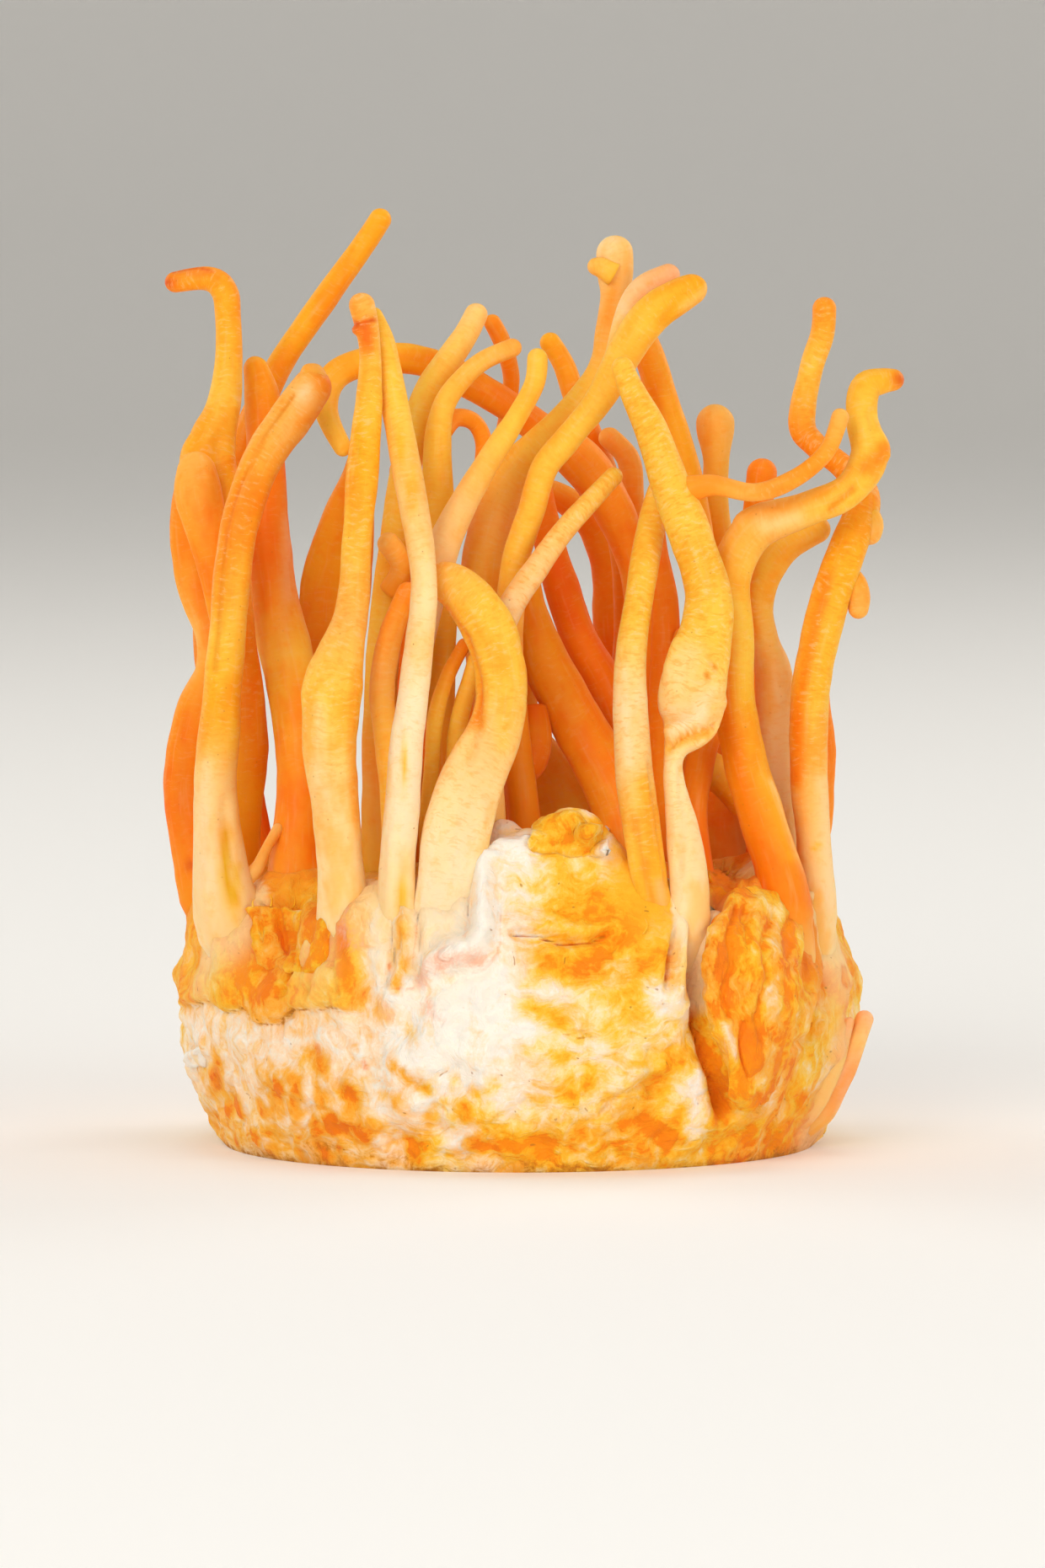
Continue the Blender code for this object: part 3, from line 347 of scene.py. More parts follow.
        "tones": "deep deep orange apricot",
        "points": [
            (13.4, 28, 8, 3.2), (13.8, 42, 7, 3.0), (13.0, 55, 6, 2.8), (11.4, 66, 5, 2.6),
            (11.3, 73, 4.5, 2.6), (10.8, 77, 4.5, 2.5), (8.0, 79.8, 4.5, 2.3)]},
    "front_right_stalk": {
        "finish": "stalk_yellow",
        "tones": "blush amber gold peach cream gold gold gold",
        "rings": 1.1,
        "bands": [
            ("amber", 0.7, 0.9, [(12.6, 42.0), (13.2, 37.0), (13.9, 32.0)]),
            ("pale", 0.5, 0.6, [(10.4, 54.0), (10.8, 48.0), (11.0, 44.0)]),
            ("blush", 0.6, 0.8, [(14.4, 31.0), (14.8, 27.0)]),
            ("deep", 0.5, 0.5, [(11.6, 38.0), (12.6, 33.0), (13.6, 29.0)])],
        "folds": [
            (0.35, -0.3, [(13.3, 44.0), (14.2, 37.0), (15.2, 31.0)]),
            (0.4, 0.3, [(12.6, 44.0), (13.4, 37.0), (14.4, 31.0)])],
        "points": [
            (14.0, 19, -26, 2.8), (13.8, 27, -29.5, 3.2), (13.3, 31, -30, 3.6),
            (12.4, 37, -29.5, 3.9), (11.7, 43, -29, 3.9), (11.2, 49.5, -28, 3.7),
            (11.3, 56, -27, 3.3), (12.3, 63, -25, 3.1), (13.3, 69, -22, 3.1),
            (14.6, 74.5, -19.5, 2.4)]},
    "shaded_stalk": {
        "finish": "stalk_deep",
        "tones": "deep orange deep orange",
        "points": [
            (15.4, 24, -13.5, 3.8), (15.3, 34, -14.5, 3.2), (14.8, 44, -15, 3.2),
            (14.9, 54, -15.5, 3.2), (14.9, 61, -15, 2.9), (14.0, 67, -14, 2.5),
            (13.6, 71.5, -13.5, 2.0)]},
    "twisted_blade_stalk": {
        "finish": "stalk_yellow",
        "tones": "pale pale cream cream cream gold gold gold gold gold",
        "rings": 1.2, "dots": 0.6,
        "bands": [
            ("pale", 0.6, 1.4, [(20.0, 51.0), (18.4, 49.0), (15.6, 47.0)]),
            ("cream", 0.6, 1.6, [(16.0, 53.0), (17.6, 56.0)]),
            ("ochre", 0.7, 0.22, [(20.1, 48.0), (17.6, 47.3), (15.6, 46.2)]),
            ("white", 1.0, 0.45, [(20.1, 69.7), (20.5, 68.4)]),
            ("amber", 0.6, 0.6, [(19.4, 47.3), (17.2, 46.6), (15.3, 45.6)]),
            ("ochre", 0.8, 0.18, [(20.4, 54.4), (19.6, 53.6), (18.8, 52.6)]),
            ("ochre", 0.6, 0.15, [(19.9, 54.9), (19.3, 54.1)])],
        "folds": [
            (0.35, -0.9, [(20.6, 48.4), (17.8, 47.2), (15.4, 46.0)]),
            (0.8, 0.8, [(20.6, 50.6), (18.2, 48.8), (15.6, 47.4)]),
            (0.5, -0.5, [(20.8, 54.8), (19.4, 53.2), (18.0, 51.6)]),
            (0.8, 0.5, [(16.4, 57.0), (15.4, 54.6), (15.8, 52.0)]),
            (0.4, -0.35, [(16.6, 43.6), (16.8, 37.0), (16.4, 32.0)])],
        "points": [
            (17.6, 18, -26, 3.4), (17.5, 25, -29, 3.6), (17.5, 31, -29.5, 4.0),
            (16.9, 36.6, -29, 3.5), (15.9, 42, -28.5, 2.2), (16.0, 45.2, -28, 2.4),
            (17.6, 48.4, -27, 6.4, 0.4, 18), (17.9, 52.4, -27, 7.0, 0.4, 8),
            (19.2, 57.4, -26.5, 5.6, 0.7), (19.6, 62.4, -26, 4.7), (17.8, 68, -25.5, 4.5),
            (15.6, 73.8, -24.5, 4.2), (13.5, 79.6, -23.8, 3.6), (11.4, 84, -22.8, 2.8),
            (9.9, 87.7, -21.9, 2.3)]},
    "shoulder_stalk": {
        "finish": "stalk_orange",
        "tones": "orange deep orange orange amber amber orange",
        "bands": [
            ("deep", 0.5, 0.6, [(13.6, 84.0), (15.8, 76.0), (17.2, 68.0)])],
        "points": [
            (18.6, 22, -17, 4.0), (18.1, 32, -18.4, 3.6), (17.9, 39, -17.5, 3.2),
            (18.8, 44.4, -15, 3.2), (19.8, 49.5, -11, 3.4), (19.6, 57, -7, 3.6),
            (18.6, 66, -6, 3.7), (17.2, 74.5, -6, 3.6), (15.0, 82, -6, 3.4),
            (13.3, 87.6, -6, 3.3), (11.6, 92, -6, 2.8)]},
    "knob_stalk": {
        "finish": "stalk_orange",
        "tones": "peach apricot orange deep orange gold apricot",
        "bands": [
            ("cream", 0.5, 1.6, [(23.4, 40.0), (23.8, 34.0)]), ("deep", 0.5, 0.8, [(19.4, 46.0), (19.8, 38.0)])],
        "points": [
            (22.0, 20, 0, 7.0, 0.7), (22.0, 30, 0, 6.4, 0.7), (21.6, 37, 1, 5.4, 0.8),
            (21.2, 44, 2, 4.2), (22.0, 53, 3, 3.6), (21.3, 63, 2, 3.3), (20.3, 71, 0, 3.0),
            (20.4, 76.5, -1, 2.8), (20.3, 79.9, -1, 4.0), (20.2, 82.7, -1, 3.8)]},
    "round_tip_stalk": {
        "finish": "stalk_orange",
        "tones": "deep deep orange orange",
        "points": [
            (26.0, 24, -3, 3.8), (25.4, 36, -3, 3.4), (24.4, 48, -3, 3.2), (23.8, 60, -3.5, 3.2),
            (24.6, 69, -6, 3.2), (25.5, 76.8, -8, 3.3)]},
    "antler_stalk": {
        "finish": "stalk_orange",
        "tones": "peach deep orange amber gold gold apricot gold gold amber",
        "rings": 0.7, "dots": 0.5,
        "bands": [
            ("deep", 0.85, 1.2, [(21.0, 57.0), (21.4, 50.0), (22.8, 44.0), (24.4, 38.0), (26.2, 32.0)]),
            ("amber", 0.6, 0.7, [(24.0, 50.0), (25.2, 44.0), (27.2, 38.0), (28.6, 34.0)]),
            ("pale", 0.6, 0.5, [(26.6, 42.0), (28.6, 37.0), (30.0, 33.4)]),
            ("cream", 0.6, 1.0, [(25.6, 69.6), (29.0, 70.4)]),
            ("deep", 0.6, 0.8, [(36.4, 76.0), (38.4, 78.0)]),
            ("deep", 0.7, 0.4, [(35.2, 73.6), (32.6, 71.4)]),
            ("rust", 0.85, 0.4, [(41.0, 85.4), (40.8, 84.8)]),
            ("ochre", 0.5, 0.7, [(37.2, 75.6), (38.0, 76.8)])],
        "folds": [
            (0.8, 0.5, [(22.6, 70.4), (25.4, 71.2)]), (0.7, -0.5, [(37.2, 81.6), (37.6, 78.8)]),
            (0.5, 0.4, [(38.9, 79.6), (39.0, 77.0)])],
        "points": [
            (27.6, 22, -17, 5.6), (27.4, 31, -19.5, 5.2), (25.4, 38, -20, 4.9),
            (23.6, 44, -20, 4.6), (22.4, 51, -20, 4.5), (22.2, 58, -20, 4.5),
            (21.9, 64, -20, 4.5), (24.6, 69.0, -20.5, 4.5), (30.2, 71.4, -21, 3.7),
            (34.6, 73.4, -21, 3.7), (36.9, 77.2, -20.5, 4.0), (36.1, 81.2, -20, 3.4),
            (36.4, 84.4, -19.5, 3.3), (38.3, 85.2, -18.5, 2.7), (40.5, 85.3, -17.5, 2.0)],
        "marks": [(40.2, 85.4, 0.9, 0.9, "rust", 0.8)]},
    "right_inner_stalk": {
        "finish": "stalk_yellow",
        # tones lightened: painted light that makes up for the shade this stalk lies in
        "tones": "gold cream cream peach gold gold",
        "bands": [
            ("deep", 0.7, 0.7, [(24.0, 66.0), (23.6, 62.0), (24.4, 58.0)]),
            ("blush", 0.5, 0.7, [(24.4, 56.0), (24.8, 50.0), (25.0, 44.0)]),
            ("cream", 0.5, 1.2, [(27.0, 54.0), (27.2, 46.0)])],
        "points": [
            (28.0, 22, -9, 4.4), (27.4, 32, -10, 4.2), (26.9, 41, -10.5, 4.2),
            (26.7, 48, -10.5, 4.2), (26.6, 53.6, -10.5, 4.0), (25.4, 57.5, -10.5, 3.3),
            (24.95, 61, -10.5, 3.1), (25.9, 64.6, -10.5, 3.3), (28.2, 67.6, -10.5, 3.2),
            (32.6, 69.8, -10, 2.8)]},
    "outer_right_stalk": {
        "finish": "stalk_yellow",
        "tones": "cream cream peach apricot gold gold amber orange orange gold orange",
        "rings": 0.9, "dots": 0.3,
        "bands": [
            ("deep", 0.7, 0.8, [(32.4, 64.0), (30.6, 57.0), (29.3, 50.0), (28.9, 42.0)]),
            ("amber", 0.5, 1.0, [(34.8, 66.0), (33.0, 58.0), (31.6, 52.0)]),
            ("pale", 0.5, 1.0, [(32.0, 42.0), (32.6, 34.0), (32.8, 29.0)]),
            ("olive", 0.7, 0.25, [(30.9, 34.8), (31.6, 35.2)]),
            ("orange", 0.7, 0.4, [(34.2, 31.0), (34.4, 27.6)])],
        "folds": [
            (0.35, -0.3, [(32.6, 30.0), (32.9, 26.6)])],
        "points": [
            (30.6, 20, -10.5, 3.6), (31.4, 28, -13, 3.6), (31.0, 35, -14.5, 3.7),
            (30.4, 43, -15, 4.1), (30.6, 52, -15, 4.1), (32.2, 60, -15, 4.2),
            (34.5, 67, -14.5, 4.2), (36.3, 72.4, -12.5, 3.6), (34.4, 75.6, -10.5, 2.7),
            (31.0, 78.3, -8.5, 2.7), (29.6, 80.7, -7.5, 2.9), (30.6, 86.4, -7, 2.6),
            (31.9, 90.6, -6.5, 2.7), (32.0, 94.2, -6.5, 2.7)]},
    "rear_stalk_1": {
        "finish": "stalk_deep",
        "tones": "apricot orange deep orange orange",
        "points": [
            (-28.0, 26, 16, 4.4), (-31.5, 38, 16, 4.0), (-33.6, 50, 15, 3.6),
            (-34.2, 61, 13, 3.6), (-34.4, 72, 11, 3.2)]},
    "rear_stalk_2": {
        "finish": "stalk_orange",
        "tones": "apricot orange deep orange orange",
        "points": [
            (-19.0, 26, 22, 4.6), (-21.4, 38, 22, 4.2), (-21.5, 50, 20, 4.0),
            (-19.3, 61, 17, 3.6), (-18.7, 72, 14, 3.2)]},
    "rear_stalk_3": {
        "finish": "stalk_deep",
        "tones": "apricot orange deep orange orange",
        "points": [
            (-9.0, 28, 27, 4.8), (-11.5, 41, 27, 4.2), (-13.0, 54, 25, 4.0),
            (-12.9, 66, 22, 3.6), (-13.4, 77, 19, 3.0)]},
    "rear_stalk_4": {
        "finish": "stalk_orange",
        "tones": "apricot orange deep orange orange",
        "points": [
            (0.0, 28, 28, 4.6), (-2.0, 42, 28, 4.2), (-2.6, 55, 26, 4.0), (-3.2, 66, 22, 3.6),
            (-2.0, 75, 19, 3.2)]},
    "rear_stalk_5": {
        "finish": "stalk_deep",
        "tones": "apricot orange deep orange orange",
        "points": [
            (14.0, 26, 28, 4.6), (13.2, 39, 29, 4.4), (12.6, 52, 28, 4.0), (12.6, 62, 26, 3.4),
            (12.8, 69, 24, 3.0)]},
    "rear_stalk_6": {
        "finish": "stalk_orange",
        "tones": "apricot orange deep orange orange",
        "points": [
            (23.0, 26, 20, 4.6), (22.6, 38, 20, 4.2), (22.6, 50, 19, 3.9), (23.6, 61, 16, 3.5),
            (23.2, 69.5, 13, 3.0)]},
    "rear_stalk_7": {
        "finish": "stalk_orange",
        "tones": "apricot orange deep orange orange",
        "points": [
            (27.0, 24, 9, 4.4), (30.2, 34, 8, 4.2), (31.0, 44, 5, 4.6, 0.7), (30.9, 54, 1, 3.6),
            (33.2, 62, -2, 3.4), (34.8, 69.5, -4, 3.0)]},
    "rear_stalk_8": {
        "finish": "stalk_orange",
        "tones": "apricot orange deep orange orange",
        "points": [
            (-18.6, 26, 12, 4.2), (-20.6, 40, 12.5, 3.8), (-20.6, 52, 11.5, 3.6),
            (-18.4, 62, 10, 3.2), (-17.8, 72.5, 9, 2.8)]},
    "rear_stalk_9": {
        "finish": "stalk_yellow",
        "tones": "apricot orange deep orange orange",
        "points": [
            (-8.0, 26, 15, 4.0), (-11.0, 40, 16, 3.6), (-12.7, 50, 15.5, 3.4),
            (-12.3, 60, 14.5, 3.2), (-12.9, 70, 13, 2.8)]},
    "rear_stalk_10": {
        "finish": "stalk_deep",
        "tones": "apricot orange deep orange orange",
        "points": [
            (3.0, 26, 17, 4.2), (0.4, 38, 18, 3.8), (-1.2, 48, 17, 3.4), (-2.4, 58, 15, 3.2),
            (-2.8, 66.5, 13, 2.8)]},
    "rear_stalk_11": {
        "finish": "stalk_orange",
        "tones": "apricot orange deep orange orange",
        "points": [
            (17.4, 24, 13, 3.6), (17.0, 34, 14, 3.2), (16.2, 42, 14, 3.0), (17.8, 51, 13.5, 3.4),
            (19.3, 59, 12, 3.2), (19.2, 67, 10, 2.8)]},
    "rear_stalk_12": {
        "finish": "stalk_yellow",
        "tones": "apricot orange deep orange orange",
        "points": [
            (-23.2, 24, 9, 3.8), (-24.4, 37, 9.5, 3.4), (-24.6, 47, 9, 3.4), (-26.0, 57, 8, 3.0),
            (-27.4, 66, 7, 2.6)]},
    "curled_bud": {
        "finish": "stalk_yellow",
        "tones": "orange apricot",
        "points": [
            (-14.6, 62.6, -18.5, 2.2), (-13.4, 65.4, -20, 2.3), (-15.6, 68.6, -21, 2.3)]},
    "hoop_twig": {
        "finish": "stalk_orange",
        "tones": "orange orange",
        "points": [
            (-9.2, 79.8, -16.5, 2.0), (-7.6, 81.2, -14.5, 1.9), (-5.6, 80.7, -13, 1.9),
            (-4.6, 78.4, -12.5, 1.9), (-4.9, 75, -12.5, 1.8)]},
    "pale_prong": {
        "finish": "stalk_pale",
        "tones": "gold cream blush",
        "points": [
            (9.3, 86.0, -17.3, 2.4), (10.6, 91.2, -14.5, 2.7), (12.4, 95.0, -14.5, 2.8),
            (16.4, 97.0, -14.5, 2.3)]},
    "thin_arm": {
        "finish": "stalk_yellow",
        "tones": "orange apricot orange apricot",
        "points": [
            (16.4, 73.2, -24.5, 2.8), (20.0, 74.0, -25, 2.1), (24.6, 73.2, -25.5, 1.9),
            (28.8, 74.7, -25.5, 1.9), (32.3, 77.7, -25, 1.9), (34.0, 82.2, -24.5, 1.8)]},
    "side_stub": {
        "finish": "stalk_orange",
        "tones": "blush peach blush blush peach blush",
        "points": [
            (28.6, 4.6, -8, 3.4), (31.4, 7.0, -9.5, 3.6), (33.8, 10.4, -10.8, 2.9), (35.6, 14.0, -11.2, 2.1),
            (36.8, 17.3, -11, 1.9)]},
    "outer_right_bud": {
        "finish": "stalk_yellow", "of": "outer_right_stalk", "stands": False,
        "tones": "amber apricot apricot",
        "points": [
            (34.2, 64.6, -14.5, 1.7), (35.4, 63.6, -14.5, 2.0), (35.8, 61.8, -14.5, 2.2), (35.6, 59.6, -14.5, 1.9)]},
    "outer_right_bump": {
        "finish": "stalk_yellow", "of": "outer_right_stalk", "stands": False,
        "tones": "amber apricot apricot",
        "points": [
            (36.2, 71.4, -13.5, 2.0), (37.1, 69.8, -13.5, 2.5), (36.6, 67.6, -13.5, 2.1)]},
    "cross_twig": {
        "finish": "stalk_orange", "of": "left_club_stalk", "stands": False,
        "tones": "peach apricot peach",
        "points": [
            (-31.0, 31.0, -18, 1.8), (-29.2, 32.6, -18, 1.4), (-28.2, 34.6, -17, 1.1), (-26.6, 37.4, -15, 1.2)]},
    "inner_lobe": {
        "finish": "stalk_orange", "of": "broad_slanting_stalk", "stands": False,
        "tones": "deep orange deep deep",
        "points": [
            (0.6, 50.0, -15, 2.6), (0.8, 47.0, -16, 3.4), (0.0, 44.0, -16.5, 3.8), (-2.2, 42.2, -16.5, 2.6)]},
    "crossing_flap": {
        "finish": "stalk_yellow", "of": "knob_stalk", "stands": False,
        "tones": "amber gold amber orange",
        "points": [
            (17.0, 42.6, -11, 3.0), (19.4, 43.4, -11.4, 3.8), (21.8, 41.6, -11.4, 3.4), (23.6, 38.4, -11, 2.4)]},
    "side_stub_fold": {
        "finish": "stalk_orange", "of": "side_stub", "stands": False,
        "tones": "blush peach peach blush",
        "points": [
            (28.2, 5.0, -10, 3.0), (31.0, 7.8, -12.0, 2.6), (33.2, 12.0, -12.6, 1.9), (34.6, 15.4, -12.4, 1.2),
            (35.0, 16.6, -12.2, 0.9)]},
    "long_club_bud": {
        "finish": "stalk_yellow", "of": "long_club_stalk", "stands": False,
        "tones": "gold apricot",
        "points": [
            (9.4, 96.6, -11.5, 2.2), (7.8, 97.4, -11.5, 2.0), (6.6, 97.3, -11.0, 1.4)]},
    "left_club_bump": {
        "finish": "stalk_yellow", "of": "left_club_stalk", "stands": False,
        "tones": "orange apricot",
        "points": [
            (-23.4, 84.6, -16.6, 2.4), (-22.8, 86.0, -16.4, 2.6), (-22.3, 86.9, -16.3, 1.9)]},
    "back_second_tip": {
        "finish": "stalk_orange", "of": "small_tip_stalk", "stands": False,
        "tones": "orange apricot",
        "points": [
            (16.2, 54.6, -16.4, 1.9), (16.6, 56.6, -16.6, 1.9), (16.8, 58.6, -16.8, 1.7)]}
}

def linear(tint):  # a tint as the render counts it
    share = np.asarray(tints[tint] if isinstance(tint, str) else tint, float) / 255
    return np.where(share <= 0.04045, share / 12.92, ((share + 0.055) / 1.055) ** 2.4)


def placed(across, up, back):  # the place of a drawn point
    spread = 1 + back / drawing["distance"]
    rise = (up - drawing["middleUp"]) * spread - back * math.sin(drawing["tilt"])
    height = drawing["middleHeight"] + rise / math.cos(drawing["tilt"])
    return np.array([across * spread - drawing["middleAcross"], back - drawing["middleBack"], height])


def drawn(places):  # where places show in the drawing, as across and up
    back = places[:, 1] + drawing["middleBack"]
    spread = 1 + back / drawing["distance"]
    rise = (places[:, 2] - drawing["middleHeight"]) * math.cos(drawing["tilt"])
    up = (rise + back * math.sin(drawing["tilt"])) / spread + drawing["middleUp"]
    return (places[:, 0] + drawing["middleAcross"]) / spread, up


def waves(places, size, start=0.0):  # soft noise, about -1 to 1, with waves of that size
    scaled = (places / size + start).tolist()
    return np.array([noise.noise(p) for p in scaled])


def smooth(low, high, value):
    share = np.clip((value - low) / (high - low), 0, 1)
    return share * share * (3 - 2 * share)


def curve(rows, at):  # a smooth line through the rows, read at these row numbers
    last = len(rows) - 1
    i = np.minimum(at.astype(int), last - 1)
    t = (at - i)[:, None]
    p0, p1 = rows[np.maximum(i - 1, 0)], rows[i]
    p2, p3 = rows[i + 1], rows[np.minimum(i + 2, last)]
    bend = 2 * p0 - 5 * p1 + 4 * p2 - p3
    turn = 3 * p1 - p0 - 3 * p2 + p3
    return 0.5 * (2 * p1 + (p2 - p0) * t + bend * t ** 2 + turn * t ** 3)


def fromLine(across, up, line):  # how far each drawn place is from a drawn line
    nearest = np.full(len(across), 1e9)
    for (x0, z0), (x1, z1) in zip(line, line[1:]):
        dx, dz = x1 - x0, z1 - z0
        share = np.clip(((across - x0) * dx + (up - z0) * dz) / (dx * dx + dz * dz + 1e-9), 0, 1)
        nearest = np.minimum(nearest, np.hypot(across - x0 - share * dx, up - z0 - share * dz))
    return nearest


def newMesh(name, places, faces, material):  # places in millimetres
    mesh = bpy.data.meshes.new(name)
    mesh.from_pydata((places * mm).tolist(), [], faces)
    mesh.materials.append(material)
    mesh.shade_smooth()
    piece = bpy.data.objects.new(name, mesh)
    bpy.context.collection.objects.link(piece)
    return piece


def keep(piece, name, kind, values):  # a value for each point, that the material reads
    attribute = piece.data.attributes.new(name, kind, "POINT")
    field = {"FLOAT": "value", "FLOAT_VECTOR": "vector", "FLOAT_COLOR": "color"}[kind]
    attribute.data.foreach_set(field, np.asarray(values, np.float32).ravel())


# materials

def newMaterial(name, roughness, settings):
    material = bpy.data.materials.new(name)
    material.use_nodes = True
    shader = material.node_tree.nodes["Principled BSDF"]
    shader.inputs["Roughness"].default_value = roughness
    for socket, value in settings.items():
        shader.inputs[socket].default_value = value
    return material, material.node_tree, shader


def addNode(tree, kind, inputs=(), **settings):  # inputs are (socket, value or output) pairs
    node = tree.nodes.new(kind)
    for key, value in settings.items():
        setattr(node, key, value)
    for socket, value in inputs:
        if isinstance(value, bpy.types.NodeSocket):
            tree.links.new(value, node.inputs[socket])
        else:
            node.inputs[socket].default_value = value
    return node


def readPoint(tree, name, output="Fac"):
    return addNode(tree, "ShaderNodeAttribute", attribute_name=name).outputs[output]


def stretched(tree, vector, scale):
    return addNode(tree, "ShaderNodeMapping", [("Vector", vector), ("Scale", scale)]).outputs["Vector"]


def speckle(tree, vector, scale, detail=3.0, roughness=0.55):
    inputs = [("Vector", vector), ("Scale", scale), ("Detail", detail), ("Roughness", roughness)]
    return addNode(tree, "ShaderNodeTexNoise", inputs).outputs["Fac"]


def ranged(tree, value, low, high, first=0.0, last=1.0):
    inputs = [("Value", value), ("From Min", low), ("From Max", high), ("To Min", first), ("To Max", last)]
    return addNode(tree, "ShaderNodeMapRange", inputs, interpolation_type="SMOOTHSTEP").outputs["Result"]


def sums(tree, operation, first, second):
    return addNode(tree, "ShaderNodeMath", [(0, first), (1, second)], operation=operation).outputs[0]


def blended(tree, share, first, second, blend="MIX"):
    node = addNode(tree, "ShaderNodeMix", data_type="RGBA", blend_type=blend)
    for socket, value in ((0, share), (6, first), (7, second)):
        if isinstance(value, bpy.types.NodeSocket):
            tree.links.new(value, node.inputs[socket])
        elif socket == 0:
            node.inputs[socket].default_value = value
        else:
            node.inputs[socket].default_value = (*linear(value), 1.0)
    return node.outputs[2]


def times(tree, first, second):
    return sums(tree, "MULTIPLY", first, second)


def spreadOut(tree, value, much):  # a noise made to swing either way about nothing
    return times(tree, sums(tree, "SUBTRACT", value, 0.5), much)


def relief(tree, height, depth, strength=1.0, before=None):
    inputs = [("Height", height), ("Distance", depth * mm), ("Strength", strength)]
    if before is not None:
        inputs.append(("Normal", before))
    return addNode(tree, "ShaderNodeBump", inputs).outputs["Normal"]


# the flesh of the stalks: the same skin in four ripenesses
flesh = {
    "stalk_orange": {"roughness": 0.52, "wrinkles": 0.55, "fibres": 0.35, "blotches": 0.34},
    "stalk_yellow": {"roughness": 0.50, "wrinkles": 0.90, "fibres": 0.30, "blotches": 0.30},
    "stalk_pale": {"roughness": 0.56, "wrinkles": 0.75, "fibres": 0.40, "blotches": 0.24},
    "stalk_deep": {"roughness": 0.55, "wrinkles": 0.45, "fibres": 0.30, "blotches": 0.40}}

softness = {
    "Subsurface Weight": 0.30, "Subsurface Radius": (1.0, 0.40, 0.12), "Subsurface Scale": 1.2 * mm,
    "Specular IOR Level": 0.19, "Sheen Weight": 0.08, "Sheen Roughness": 0.40,
    "Sheen Tint": (1.0, 0.72, 0.50, 1.0)}


def fleshMaterial(name, look):
    material, tree, shader = newMaterial(name, look["roughness"], softness)
    tone = readPoint(tree, "tone", "Color")
    along = readPoint(tree, "straight", "Vector")   # the skin as if its stalk were straight
    rings = readPoint(tree, "rings")
    broad = speckle(tree, stretched(tree, along, (1.0, 1.0, 0.55)), 0.22, 3.0)
    small = speckle(tree, along, 0.9, 4.0, 0.6)
    fibre = speckle(tree, stretched(tree, along, (1.6, 1.6, 0.16)), 1.0, 3.0)
    bent = addNode(tree, "ShaderNodeTexNoise", [("Vector", along), ("Scale", 0.5), ("Detail", 1.0)])
    bend = addNode(tree, "ShaderNodeVectorMath", [(0, bent.outputs["Color"]), ("Scale", 1.1)], operation="SCALE")
    wavy = addNode(tree, "ShaderNodeVectorMath", [(0, along), (1, bend.outputs[0])], operation="ADD").outputs[0]
    wrinkle = speckle(tree, stretched(tree, wavy, (0.75, 0.75, 2.6)), 1.0, 4.0, 0.62)
    # blotches of ripe flesh, pale lengthwise fibres, and wrinkles across with painted shade in their hollows and a
    # painted highlight on their crests
    ripe = blended(tree, 1.0, tone, (255, 216, 120), "MULTIPLY")
    wrinkleHollowShade = blended(tree, 1.0, tone, (254, 196, 70), "MULTIPLY")
    colour = blended(tree, times(tree, ranged(tree, broad, 0.46, 0.68), look["blotches"] * 2.2), tone, ripe)
    colour = blended(tree, times(tree, ranged(tree, small, 0.50, 0.74), look["blotches"]), colour, ripe)
    colour = blended(tree, times(tree, ranged(tree, fibre, 0.52, 0.74), look["fibres"] * 0.35), colour, "cream")
    # painted shade in the wrinkles' hollows and a painted highlight on their crests, following the wrinkle bump
    line = times(tree, ranged(tree, wrinkle, 0.50, 0.66), times(tree, rings, look["wrinkles"]))
    colour = blended(tree, times(tree, line, 0.42), colour, wrinkleHollowShade)
    light = times(tree, ranged(tree, wrinkle, 0.46, 0.34), times(tree, rings, look["wrinkles"] * 0.35))
    colour = blended(tree, light, colour, "cream")
    # tiny brown dots
    cells = addNode(tree, "ShaderNodeTexVoronoi", [("Vector", along), ("Scale", 0.95)], voronoi_dimensions="3D")
    dot = ranged(tree, cells.outputs["Distance"], 0.02, 0.14, 0.8, 0.0)
    chance = addNode(tree, "ShaderNodeSeparateColor", [("Color", cells.outputs["Color"])]).outputs[0]
    chosen = ranged(tree, chance, 0.66, 0.72)
    colour = blended(tree, times(tree, times(tree, dot, chosen), readPoint(tree, "dots")), colour, (176, 96, 24))
    tree.links.new(colour, shader.inputs["Base Color"])
    rough = ranged(tree, small, 0.3, 0.7, look["roughness"] - 0.07, look["roughness"] + 0.10)
    tree.links.new(rough, shader.inputs["Roughness"])
    normal = relief(tree, times(tree, wrinkle, times(tree, rings, -1.0)), 0.13 * look["wrinkles"], 0.8)
    normal = relief(tree, fibre, 0.09 * look["fibres"], 0.7, normal)
    normal = relief(tree, small, 0.05, 0.7, normal)
    normal = relief(tree, speckle(tree, along, 5.0, 3.0), 0.02, 0.7, normal)
    tree.links.new(normal, shader.inputs["Normal"])
    return material


# the cake: cottony mycelium, stained from cream through yellow to a deep orange skin
myceliumLook = {
    "yellowStain": [(0.0, "white"), (0.20, "chalk"), (0.36, (253, 222, 160)), (0.50, (253, 208, 112)),
                    (0.66, (253, 194, 58)), (0.84, (252, 176, 28)), (1.1, (250, 146, 10))],
    "peachStain": [(0.0, "white"), (0.18, (252, 228, 200)), (0.36, (253, 212, 166)), (0.52, (252, 196, 120)),
                   (0.70, (252, 178, 66)), (0.90, (251, 158, 32)), (1.1, (244, 128, 12))]}


def ramp(tree, value, stops):
    node = addNode(tree, "ShaderNodeValToRGB", [("Fac", value)])
    elements = node.color_ramp.elements
    elements[0].position, elements[1].position = stops[0][0], min(stops[-1][0], 1.0)
    for at, tint in stops[1:-1]:
        elements.new(at)
    for element, (at, tint) in zip(elements, stops):
        element.color = (*linear(tint), 1.0)
    return node.outputs["Color"]


